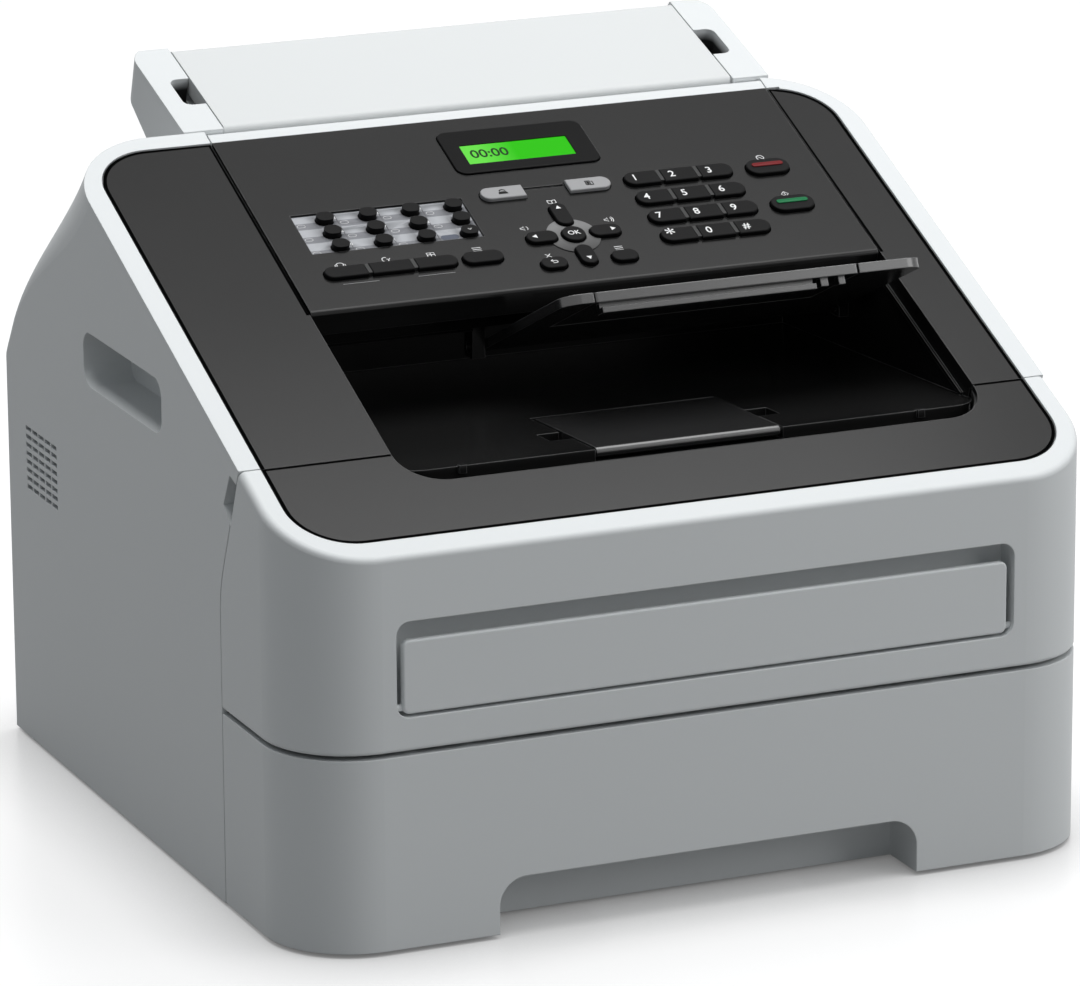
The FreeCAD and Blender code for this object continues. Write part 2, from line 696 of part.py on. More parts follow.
def side_cover(label, side):
    """One side cover: shell with tapered rear corner, grip, vents and opening notch."""
    inside = size(side) * ((PANEL_LEFT if side < 0 else PANEL_RIGHT) + side * SEAM)
    seam_y = SEAM_Y + SEAM
    top_y, top_z = on_panel(D["trim_split"] + SEAM / 2)
    knee_z = top_z - (seam_y - top_y) / TAN
    foot = D["foot_height"]
    shell = block(label + "_shell", "x", *mirrored(side, inside, HALF), polygon(
        (seam_y, foot), (BACK, foot), (BACK, D["rear_knee"] - 8), (BACK - 3, D["rear_knee"] + 3),
        (BACK - 9, rear_z(BACK - 9)), (END_Y, END_Z), (top_y, top_z),
        *reversed(seam_bend(seam_y, knee_z, D["seam_bend"] + SEAM))))

    def rear_edge(x):
        return lambda b: b.XLength < 0.01 and near(abs(b.XMin), x) and b.ZLength > 60 and b.YLength > 40 \
            and b.YMax > BACK.value - 25

    outer = taper_round(label + "_outer", shell, rear_edge(HALF), D["corner_low"], D["corner_top"])
    inner = block(label + "_void", "x", *mirrored(side, inside - 5, HALF - WALL), polygon(
        (seam_y - 60, foot + WALL), (BACK - WALL, foot + WALL), (BACK - WALL, D["rear_knee"] - 9),
        (BACK - WALL - 9, rear_z(BACK - WALL - 9) - WALL * 0.8), BELOW_END,
        on_panel(D["trim_split"] - 60, -DECK)))
    cavity = taper_round(label + "_cavity", inner, rear_edge(HALF - WALL),
                         D["corner_low"] - WALL / 2, D["corner_top"] - WALL)
    hollow = cut(label + "_hollow", outer, cavity)
    grip_box = block(label + "_grip_box", "x", *mirrored(side, HALF - 24, HALF - 1),
                     rounded(-33, 70, 184, 214, 9))
    notch_box = on_slope(block(label + "_notch_box", "x", *mirrored(side, HALF - 8, HALF - 1), polygon(
        (D["trim_split"] + SEAM / 2, -5), (D["trim_split"] + SEAM / 2, -32), (D["trim_split"] + 12.5, -26.5),
        (D["trim_split"] + 11, -5))))
    notch = on_slope(block(label + "_notch", "x", *mirrored(side, HALF - 6, HALF + 5), polygon(
        (D["trim_split"] - 3, -6.5), (D["trim_split"] - 3, -29), (D["trim_split"] + 9.5, -24),
        (D["trim_split"] + 8, -8))))
    bearing = on_slope(block(label + "_bearing", "x", *mirrored(side, inside, inside + 8), rect(
        D["panel_end"] - 9, D["panel_end"] - 1, -9, -1)))
    full = fuse(label + "_full", hollow, grip_box, notch_box, bearing)
    grip = block(label + "_grip", "x", *mirrored(side, HALF - 21.5, HALF + 5), rounded(-30, 67, 187, 211, 8))
    seat = on_slope(block(label + "_seat", "z", -D["trim_depth"], 5, rounded(
        *mirrored(side, inside - 60, HALF - D["rim"]), D["trim_split"] - 90, D["panel_strip"],
        D["front_corner"] - D["trim_start"])))
    throat = on_slope(block(label + "_throat", "z", -60, 5, rect(
        *mirrored(side, inside - 60, inside + 6), D["trim_split"] - 60, D["panel_strip"])))
    pin = on_slope(block(label + "_pin", "x", *mirrored(side, inside - 3, inside + 6), circle(
        D["panel_end"] - 4, -4, BORE)))
    under = block(label + "_under", "z", foot - 5, 10, rect(
        *mirrored(side, inside - 5, D["frame_half"] + 1), seam_y - 5, BACK - WALL))
    tools = [grip, notch, seat, throat, pin, under]
    if side < 0:
        bars = block(label + "_bars", "x", *mirrored(side, HALF - 10, HALF + 5), *[
            rect(100, 150, 119.5 + 3.85 * i, 121.5 + 3.85 * i) for i in range(8)])
        columns = block(label + "_columns", "x", *mirrored(side, HALF - 10, HALF + 5), *[
            rect(106.3 + 8.4 * i, 113.4 + 8.4 * i, 100, 160) for i in range(5)])
        tools.append(common(label + "_vents", bars, columns))
        tools.append(block(label + "_inlet", "y", BACK - 10, BACK + 5, rect(
            -(D["frame_half"] + 29.5), -(D["frame_half"] + 1), 23.5, 46.5)))
    else:
        half = D["frame_half"]
        tools.append(block(label + "_sockets", "y", BACK - 10, BACK + 5, *[
            rect(half + 1, half + 16.1, low - 0.5, low + 14.5) for low in (100, 122)],
            rect(half + 1, half + 14.1, 59.5, 71.5)))
        tools.append(block(label + "_switch_hole", "x", HALF - 16, HALF + 5, rect(109, 132, 40, 54)))
        tools.append(block(label + "_switch_pin", "z", 38.5, 55.5, circle(
            HALF - 6.5, 120.5, 1.5 + D["pin_gap"])))
        switch_box = block(label + "_switch_box", "x", HALF - 11, HALF - 1, rect(106, 135, 37, 57))
        full = fuse(label + "_with_switch", full, switch_box)
    return node(label, cut(label, full, *tools))


def rear_z(y):
    """Height of the sloping rear face over a given y."""
    return D["rear_knee"] + (BACK - size(y)) * (END_Z - D["rear_knee"]) / (BACK - END_Y)


def rear_cover():
    """The middle of the rear with the opening for the door."""
    foot = D["foot_height"]
    top_y = END_Y + 9
    cover = block("rear_cover", "x", PANEL_LEFT, PANEL_RIGHT, polygon(
        (BACK - WALL, foot), (BACK, foot), (BACK, D["rear_knee"] - 8), (BACK - 3, D["rear_knee"] + 3),
        (BACK - 9, rear_z(BACK - 9)), (top_y, rear_z(top_y)), (top_y, rear_z(top_y) - 4.4),
        (BACK - 11, rear_z(BACK - 11) - 4.2), (BACK - WALL - 3, D["rear_knee"] + 1),
        (BACK - WALL, D["rear_knee"] - 9)))
    pocket(cover, "y", BACK - 10, BACK + 5, rect(-(D["door_left"] + SEAM), DOOR_RIGHT + SEAM, 92.2, 178))
    for low in (-(D["door_left"] + SEAM + 4), DOOR_RIGHT + SEAM):
        pad(cover, "x", low, low + 4, rect(BACK - 8.5, BACK - 1, 94, 105),
            circle(BACK - 4.5, 100.5, BORE))
    pocket(cover, "y", BACK - 10, BACK + 5, *[
        rect(-90 + 16 * i, -80 + 16 * i, 30 + 8 * j, 33 + 8 * j) for i in range(4) for j in range(4)])
    return node("rear_cover", cover)


def rear_door():
    """The rear door, hinged at its foot, a little proud of the rear."""
    low = 96.5
    door = block("rear_door", "x", -D["door_left"], DOOR_RIGHT, polygon(
        (BACK - 7, low), (BACK + 1, low), (BACK + D["rear_bulge"], low + 14), (BACK + D["rear_bulge"], 166),
        (BACK + 2, 177.4), (BACK - 3, 177.4), (BACK - 3, 172), (BACK + 4, 162), (BACK + 4, low + 16),
        (BACK - 3, low + 9), (BACK - 7, low + 8)))
    pad(door, "x", -(D["door_left"] + 4), DOOR_RIGHT + 4, circle(BACK - 4.5, 100.5, D["hinge_pin"]))
    return node("rear_door", door)


# Dark top cover with the output cavity, and the flap in its floor

FLAP_X = (-28.0, 56.0)
FLAP_REACH = 65.0
FLAP_PIVOT = (3.0, -1.9)


def top_cover():
    """Side strips, cavity walls, sloping floor and rear wall in one moulding."""
    edge = HALF - D["rim"] - SEAM
    strips = block("top_strips", "z", -D["trim_depth"], -D["trim_sink"], rounded(
        -edge, edge, D["trim_split"] - 90, D["panel_strip"] - SEAM, D["front_corner"] - D["trim_start"] - SEAM))
    pocket(strips, "z", -10, 1, rect(-HALF, HALF, D["trim_split"] - 120, D["trim_split"] + SEAM / 2))
    pocket(strips, "z", -10, 1, rect(LEFT, RIGHT, D["trim_split"] - 20, D["panel_end"] + 20))
    on_slope(strips)
    wall_rear = END_Y - 6
    low = D["floor_height"] - D["floor_thick"] - 6
    sides = new_body("cavity_sides")
    for start in (LEFT - WALL, RIGHT):
        pad(sides, "x", start, start + WALL, polygon(
            on_panel(D["trim_split"] + 1.5, -24), (wall_rear, low - 6), (wall_rear, panel_z(wall_rear, -1.5)),
            on_panel(D["trim_split"] + 1.5, -1.5)))
    ledge_front, ledge_rear = D["trim_split"] + 6, D["panel_front"] - 8
    pad(sides, "x", RIGHT - 1.2, RIGHT, polygon(
        on_panel(ledge_front, -9), on_panel(ledge_front, -11),
        on_panel(ledge_rear, -11), on_panel(ledge_rear, -9)))
    slab = block("cavity_floor", "z", -D["floor_thick"], 0, rounded(
        LEFT - 1, RIGHT + 1, 0, 212, 14))
    pocket(slab, "z", -5.2, 3, rect(FLAP_X[0] - 1, FLAP_X[1] + 1, -1, FLAP_REACH + 4))
    pocket(slab, "z", -4, 3, rect(FLAP_X[0] - 11, FLAP_X[0] - 0.5, 24, 38),
           rect(FLAP_X[1] + 0.5, FLAP_X[1] + 11, 24, 38))
    pocket(slab, "x", FLAP_X[0] - 5, FLAP_X[1] + 5, circle(*FLAP_PIVOT, 1.3 + D["pin_gap"]))
    pad(slab, "z", -3, 0.5, *[rect(x - 1.6, x + 1.6, -1.5, 1.2) for x in (LEFT + 28, RIGHT - 29)])
    on_floor(slab)
    rear_y = FLOOR_Y + 196
    back = block("cavity_back", "y", rear_y, rear_y + WALL, rect(
        LEFT - 1, RIGHT + 1, low - 4, D["floor_height"] + 14))
    return node("top_cover", fuse("top_cover", strips, sides, slab, back))


def output_tray_flap():
    """The flap that folds up out of the output floor about its front edge."""
    y0, n0 = FLAP_PIVOT
    flap = block("output_tray_flap", "z", -4.2, 0.4, rect(*FLAP_X, y0 - 2.3, FLAP_REACH))
    round_edges(flap, 2.25, lambda b: b.XLength > 50 and near(b.YMax, y0 - 2.3))
    pad(flap, "x", FLAP_X[0] - 4, FLAP_X[1] + 4, circle(y0, n0, 1.3))
    return node("output_tray_flap", on_floor(flap))


# Scanner under the control panel

FEED_AT = (272.0, -22.5)


def scanner_base():
    """The lower half of the document path, held between the cavity walls."""
    base = block("scanner_block", "z", -30, -15, rect(LEFT, RIGHT, 178, D["panel_end"] - 5))
    pocket(base, "z", -28, -10, rect(LEFT + 21.5, RIGHT - 24.7, 225.6, 240.4))
    pocket(base, "z", -35, -10, rect(-60, 93, FEED_AT[0] - 8, FEED_AT[0] + 8))
    pocket(base, "x", LEFT + 5, RIGHT - 4.2, circle(*FEED_AT, 2.5 + D["pin_gap"]))
    pad(base, "z", -33.5, -30, rect(LEFT, -(D["rest_left"] + 6.6), 180.5, 192))
    on_slope(base)
    py = FRONT + D["rest_pivot_y"]
    pz = D["rest_pivot_z"]
    lugs = new_body("support_lugs")
    for low, high in ((-(D["rest_left"] + 6.6), -(D["rest_left"] + 0.6)), (REST_RIGHT + 0.6, RIGHT)):
        pad(lugs, "x", low, high, rect(py - 4.5, py + 4.5, pz - 4.5, panel_z(py + 4, -26)),
            circle(py, pz, BORE + 0.5))
    return node("scanner_base", fuse("scanner_base", base, lugs))


def image_sensor():
    """The contact image sensor bar in its slot."""
    bar = block("image_sensor", "z", -28, -15.2, rect(LEFT + 22, RIGHT - 25.2, 226, 240))
    return node("image_sensor", on_slope(bar))


def document_feed_roller():
    """The roller that draws documents past the sensor."""
    piece = block("document_feed_roller", "x", LEFT + 5.5, RIGHT - 4.7, circle(*FEED_AT, 2.5))
    for low in (-50, 0.5, 51):
        pad(piece, "x", low, low + 32, circle(*FEED_AT, 7.0))
    return node("document_feed_roller", on_slope(piece))


# Document output support and its extension

EXT_X = (-9.0, REST_RIGHT - 31.6)
EXT_BACK = 52.0
EXT_PIVOT = 4.2
REST_HALF = 2.1


def on_rest(obj):
    """Stand an object in the frame of the raised output support, y away from its tip."""
    return stand(obj, FRONT + D["rest_pivot_y"], D["rest_pivot_z"], -D["rest_angle"])


def document_output_support():
    """The raised plate that catches documents, hinged under the scanner."""
    tip = -D["rest_length"]
    plate = block("document_output_support", "z", -REST_HALF, REST_HALF, rect(
        -D["rest_left"], REST_RIGHT, tip, 3))
    round_edges(plate, 8, lambda b: b.ZLength > 2 and near(b.YMax, tip) and b.XLength < 0.01)
    pocket(plate, "z", -5, 5, rect(EXT_X[0] - 0.6, EXT_X[1] + 0.6, tip - 5, tip + EXT_BACK + 0.6))
    pad(plate, "x", -(D["rest_left"] + 5.6), REST_RIGHT + 4.6, circle(0, 0, BORE + 0.45 - D["pin_gap"]))
    pocket(plate, "x", EXT_X[0] - 4, EXT_X[1] + 4, circle(tip + EXT_PIVOT, 0, 1.0 + D["pin_gap"]))
    return node("document_output_support", on_rest(plate))


def output_support_extension():
    """The centre plate of the support, which folds out over its front edge."""
    tip = -D["rest_length"]
    plate = block("output_support_extension", "z", -REST_HALF, REST_HALF, rounded(
        *EXT_X, tip, tip + EXT_BACK, 1))
    pad(plate, "z", -6.6, -REST_HALF, rect(EXT_X[0] + 3, EXT_X[1] - 20, tip + 4.5, tip + 7.5))
    pad(plate, "z", -6.6, -4.2, rect(EXT_X[0] + 3, EXT_X[1] - 20, tip + 1.2, tip + 4.5))
    pad(plate, "z", -5.6, -REST_HALF, rect(EXT_X[1] - 17, EXT_X[1] - 13.5, tip + 3, tip + 7),
        rect(EXT_X[1] - 8.5, EXT_X[1] - 5.5, tip + 3, tip + 7))
    pad(plate, "x", EXT_X[0] - 3.4, EXT_X[1] + 3.4, circle(tip + EXT_PIVOT, 0, 1.0))
    return node("output_support_extension", on_rest(plate))


# Document tray and its fold-out support

TRAY_Y = END_Y + 0.9
TRAY_Z = END_Z + 0.4
DOC_SIN = turned("sin", D["doc_angle"])
DOC_COS = turned("cos", D["doc_angle"])
DOC_PIVOT = D["doc_length"] - 6.3


def on_tray(obj):
    """Stand an object in the frame of the document tray."""
    return stand(obj, TRAY_Y, TRAY_Z, D["doc_angle"])


def document_tray():
    """The wedge at the top rear that holds documents."""
    top_y = TRAY_Y + D["doc_length"] * DOC_COS
    top_z = TRAY_Z + D["doc_length"] * DOC_SIN
    tray = block("tray_wedge", "x", -D["doc_left"], DOC_RIGHT, polygon(
        (TRAY_Y, TRAY_Z), (top_y, top_z), (top_y + 5, top_z - 4.5), (top_y + 4, top_z - 19),
        (TRAY_Y + 21, rear_z(TRAY_Y + 21) + 0.05), (TRAY_Y, rear_z(TRAY_Y) + 0.05)))
    plan = on_tray(block("tray_plan", "z", -70, 20, rounded(
        -D["doc_left"], DOC_RIGHT, -60, D["doc_length"] + 3.4, 14)))
    bay = on_tray(block("tray_bay", "z", -12, 8, rect(
        -D["flap_left"], FLAP_RIGHT, -30, D["doc_length"] + 30)))
    fingers = on_tray(block("tray_fingers", "z", -12, 8, rounded(
        -(D["flap_left"] + 9.6), FLAP_RIGHT + 9.3, 22.5, 45, 4)))
    pin = on_tray(block("tray_pin", "x", -(D["flap_left"] + 5), FLAP_RIGHT + 5, circle(
        DOC_PIVOT, -4, BORE)))
    wedge = common("tray_rounded", tray, plan)
    return node("document_tray", cut("document_tray", wedge, bay, fingers, pin))


def document_support():
    """The flap in the document tray, which folds up and back."""
    left = -(D["flap_left"] - D["flap_gap"])
    right = FLAP_RIGHT - D["flap_gap"]
    end = D["doc_length"] - 1.5
    flap = block("document_support", "z", -8, 0, rect(left, right, D["flap_gap"], end))
    pocket(flap, "z", -9, -WALL, rect(left + WALL, right - WALL, D["flap_gap"] + WALL, end - 11))
    round_edges(flap, 2.5, lambda b: b.XLength > 100 and near(b.YMin, end) or (
        b.XLength > 100 and near(b.ZMin, 0) and b.YMax < 2))
    pad(flap, "x", left - 4, right + 4, circle(DOC_PIVOT, -4, D["hinge_pin"]))
    return node("document_support", on_tray(flap))


# Keys: centre across, centre up the slope, width, height, rounded ends

NAV_X = 17.7
STOP_X = RIGHT - 25.5
SINGLE_KEYS = (
    ("fax_mode_key", -2.4, 230.3, 20.3, 8.2, "left"),
    ("copy_mode_key", 38.6, 230.3, 20.3, 8.2, "right"),
    ("options_key", -28.4, 187.0, 18.4, 8.0, "both"),
    ("up_key", NAV_X, 211.0, 7.6, 15.6, "both"),
    ("down_key", NAV_X, 181.0, 7.6, 13.6, "both"),
    ("left_key", NAV_X - 14.9, 196.4, 14.2, 7.6, "both"),
    ("right_key", NAV_X + 15.1, 196.4, 14.2, 7.6, "both"),
    ("ok_key", NAV_X, 196.2, 10.5, 10.4, "both"),
    ("clear_key", NAV_X - 16.6, 177.5, 12.0, 7.6, "both"),
    ("menu_key", NAV_X + 16.6, 177.5, 12.0, 7.6, "both"),
    ("stop_key", STOP_X, 229.5, 20.2, 10.5, "both"),
    ("start_key", STOP_X, 201.6, 20.2, 10.5, "both"),
)
ROW_KEYS = (
    (("dial_1_key", "dial_2_key", "dial_3_key"), 81.75, 230.4, 51.7, 9.0),
    (("dial_4_key", "dial_5_key", "dial_6_key"), 81.75, 216.1, 51.7, 9.0),
    (("dial_7_key", "dial_8_key", "dial_9_key"), 81.75, 202.0, 51.7, 9.0),
    (("dial_star_key", "dial_0_key", "dial_hash_key"), 81.75, 187.9, 51.7, 9.0),
    (("hook_key", "redial_key", "resolution_key"), -70.85, 187.0, 60.9, 7.6),
)
ROW_WEB = 2.0
TOUCH_COLUMNS = (-86.7, -66.8, -46.9, -27.0)
TOUCH_ROWS = (226.4, 216.6, 206.6)
TOUCH_SIZE = (7.8, 6.2)
LABEL_BED = (-101.0, -21.4, 202.8, 231.1)
LCD = (-16.0, 52.5, 247.0, 278.5)
TOP_SKIN = 3.0
FLANGE = 0.6


def key_spans():
    """Every single key and row key as label, two ends, two edges and rounded ends."""
    spans = []
    for label, x, v, wide, high, ends in SINGLE_KEYS:
        spans.append((label, x - wide / 2, x + wide / 2, v - high / 2, v + high / 2, ends))
    for names, x, v, wide, high in ROW_KEYS:
        each = (wide - 2 * ROW_WEB) / 3
        for place, (label, ends) in enumerate(zip(names, ("left", "none", "right"))):
            start = x - wide / 2 + place * (each + ROW_WEB)
            spans.append((label, start, start + each, v - high / 2, v + high / 2, ends))
    return spans


def touch_spans():
    """The twelve one-touch keys as two ends, two edges and rounded ends."""
    wide, high = TOUCH_SIZE
    return [(x - wide / 2, x + wide / 2, v - high / 2, v + high / 2, "both")
            for x in TOUCH_COLUMNS for v in TOUCH_ROWS]


def key_outline(u0, u1, v0, v1, ends, grow=0):
    """The outline of a key, grown by a gap."""
    grow = size(grow)
    radius = grow + min(size(u1 - u0).value, v1 - v0) / 2 - 0.06
    edges = (u0 - grow, u1 + grow, v0 - grow, v1 + grow)
    if ends == "none":
        return rect(*edges)
    if ends == "both":
        return rounded(*edges, radius)
    return one_ended(*edges, radius, ends == "left")


def key(label, u0, u1, v0, v1, ends):
    """One key: cap, retaining flange under the panel skin and stem towards the board."""
    top = D["key_rise"]
    body = block(label, "z", -TOP_SKIN, top, key_outline(u0, u1, v0, v1, ends))
    round_edges(body, 0.6, lambda b: near(b.ZMin, top))
    pad(body, "z", -TOP_SKIN - 2, -TOP_SKIN, rect(u0 - FLANGE, u1 + FLANGE, v0 - FLANGE, v1 + FLANGE))
    pad(body, "z", -8, -TOP_SKIN - 2, rect(u0 + 1.5, u1 - 1.5, v0 + 1.2, v1 - 1.2))
    return node(label, on_slope(body))


def touch_keys():
    """Twelve one-touch keys that travel together."""
    keys = new_body("one_touch_keys")
    for u0, u1, v0, v1, ends in touch_spans():
        pad(keys, "z", -TOP_SKIN, D["key_rise"], key_outline(u0, u1, v0, v1, ends))
        pad(keys, "z", -TOP_SKIN - 2, -TOP_SKIN, rect(u0 - FLANGE, u1 + FLANGE, v0 - FLANGE, v1 + FLANGE))
    return node("one_touch_keys", on_slope(keys))


# Control panel, its rear strip and the display board

def control_panel():
    """The dark panel shell with an opening for every key and the display."""
    front = D["panel_front"]
    end = D["panel_strip"]
    gap = D["key_gap"]
    panel = block("control_panel", "z", -D["panel_thick"], 0, rect(PANEL_LEFT, PANEL_RIGHT, front, end))
    round_edges(panel, 2, lambda b: near(b.ZMin, 0) and near(b.YMax, front))
    pocket(panel, "z", -D["panel_thick"] - 1, -TOP_SKIN, rect(
        PANEL_LEFT + 3, PANEL_RIGHT - 3, front + 3, end - 3))
    pocket(panel, "z", -1.2, 1, rect(*LABEL_BED))
    for span in touch_spans() + [span[1:] for span in key_spans()]:
        pocket(panel, "z", -TOP_SKIN - 1, 1, key_outline(*span, gap))
    pocket(panel, "z", -0.8, 1, rect(8.4, 27.8, 232.0, 233.6))
    pocket(panel, "z", -TOP_SKIN - 1, 1, rounded(LCD[0] - gap, LCD[1] + gap, LCD[2] - gap, LCD[3] + gap, 5))
    return node("control_panel", on_slope(panel))


def panel_rear_trim():
    """The light strip behind the panel, which carries its hinge pins."""
    end = D["panel_end"]
    strip = block("panel_rear_trim", "x", PANEL_LEFT, PANEL_RIGHT, rect(D["panel_strip"], end, -8, 0))
    round_edges(strip, 3.98, lambda b: b.XLength > 100 and near(b.YMin, end))
    pad(strip, "x", PANEL_LEFT - 4.5, PANEL_RIGHT + 4.5, circle(end - 4, -4, D["hinge_pin"]))
    return node("panel_rear_trim", on_slope(strip))


def display_board():
    """The board under the keys with the display module on it."""
    board = block("display_board", "z", -11, -9.4, rect(
        PANEL_LEFT + 3, PANEL_RIGHT - 3, D["panel_front"] + 3, D["panel_strip"] - 3))
    pad(board, "z", -9.4, 0.9, rounded(*LCD, 4.7))
    round_edges(board, 0.5, lambda b: near(b.ZMin, 0.9))
    pocket(board, "z", 0.3, 2, rect(-8.5, 42.4, 253.4, 267.5))
    return node("display_board", on_slope(board))


def power_switch():
    """The rocker on the right side."""
    rocker = block("power_switch", "z", 40.5, 53.5, polygon(
        (HALF - 11, 113.5), (HALF - 0.3, 111.2), (HALF - 2.7, 129.8), (HALF - 11, 127.5)))
    pad(rocker, "z", 38.7, 55.3, circle(HALF - 6.5, 120.5, 1.5))
    return node("power_switch", rocker)


# Build every piece, check it and write it

front_cover()
front_cover_trim()
manual_feed_cover()
paper_tray()
paper_lift_plate()
base_frame()
rubber_feet()
drum_unit()
toner_cartridge()
laser_unit()
roller("heat_roller", 105, 138, 12.0, 112, 4, 149.5)
roller("pressure_roller", 105, 113.7, 12.0, 112, 4, 149.5)
roller("pickup_roller", -120, 74.5, 12.0, 25, 3, 149.5)
drive_motor()
circuit_boards()
side_cover("left_side_cover", -1)
side_cover("right_side_cover", 1)
rear_cover()
rear_door()
top_cover()
output_tray_flap()
scanner_base()
image_sensor()
document_feed_roller()
document_output_support()
output_support_extension()
document_tray()
document_support()
control_panel()
panel_rear_trim()
display_board()
power_switch()
touch_keys()
for span in key_spans():
    key(*span)
doc.recompute()

for item in doc.Objects:
    if "Invalid" in item.State or "Error" in item.State:
        raise ValueError("failed feature " + item.Name)
for feature in CUTS:
    if feature.BaseFeature.Shape.Volume - feature.Shape.Volume < 0.5:
        raise ValueError("nothing cut by " + feature.Name)
for label, piece in NODES:
    if piece.Shape.isNull() or not piece.Shape.isValid() or not piece.Shape.Solids:
        raise ValueError("bad shape " + label)

os.makedirs("parts", exist_ok=True)
for label, piece in NODES:
    piece.Shape.exportStep(os.path.join("parts", label + ".step"))
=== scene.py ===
"""Looks of a compact desktop fax machine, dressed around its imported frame."""

import json
import logging
import math
from dataclasses import dataclass
from enum import Enum

import bpy
from mathutils import Matrix, Vector
from mathutils.geometry import convex_hull_2d


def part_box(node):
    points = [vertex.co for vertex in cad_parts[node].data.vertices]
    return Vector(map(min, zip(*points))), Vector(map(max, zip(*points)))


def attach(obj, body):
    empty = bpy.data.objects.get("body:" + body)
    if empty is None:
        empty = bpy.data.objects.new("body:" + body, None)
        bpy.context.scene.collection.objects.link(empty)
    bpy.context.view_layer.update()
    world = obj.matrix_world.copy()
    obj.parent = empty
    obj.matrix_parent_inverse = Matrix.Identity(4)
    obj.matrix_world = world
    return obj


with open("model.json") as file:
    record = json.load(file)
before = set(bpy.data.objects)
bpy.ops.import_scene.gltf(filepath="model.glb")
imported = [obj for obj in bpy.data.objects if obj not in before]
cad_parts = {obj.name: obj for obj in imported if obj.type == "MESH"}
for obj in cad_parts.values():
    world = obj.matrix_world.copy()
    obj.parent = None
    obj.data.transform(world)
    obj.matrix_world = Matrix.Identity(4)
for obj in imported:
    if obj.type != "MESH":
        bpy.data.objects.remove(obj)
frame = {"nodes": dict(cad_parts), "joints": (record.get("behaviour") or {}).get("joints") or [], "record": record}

logging.basicConfig(level=logging.INFO, format="%(name)s: %(message)s")
log = logging.getLogger("fax_machine")

MM = 0.001
PRINT_DEPTH = 0.04 * MM
SMOOTH_ANGLE = math.radians(35)
WHITE = (1.0, 1.0, 1.0)
Colour = tuple[float, float, float]
Line = list[tuple[float, float]]
Hole = tuple[float, float, float, float, float]
Node = bpy.types.Node
Tree = bpy.types.NodeTree
Socket = bpy.types.NodeSocket
Piece = bpy.types.Object
Material = bpy.types.Material
Finishes = dict[str, Material]


class Slot(Enum):
    """Material slots of the record."""

    LIGHT = "light_plastic"
    DARK = "dark_plastic"
    GLOSS = "dark_gloss"
    BLACK_KEY = "black_key"
    GREY_KEY = "grey_key"
    RUBBER = "rubber"
    STEEL = "steel"
    BOARD = "board"
    BLACK = "black_plastic"


# Shader graphs and shared effects


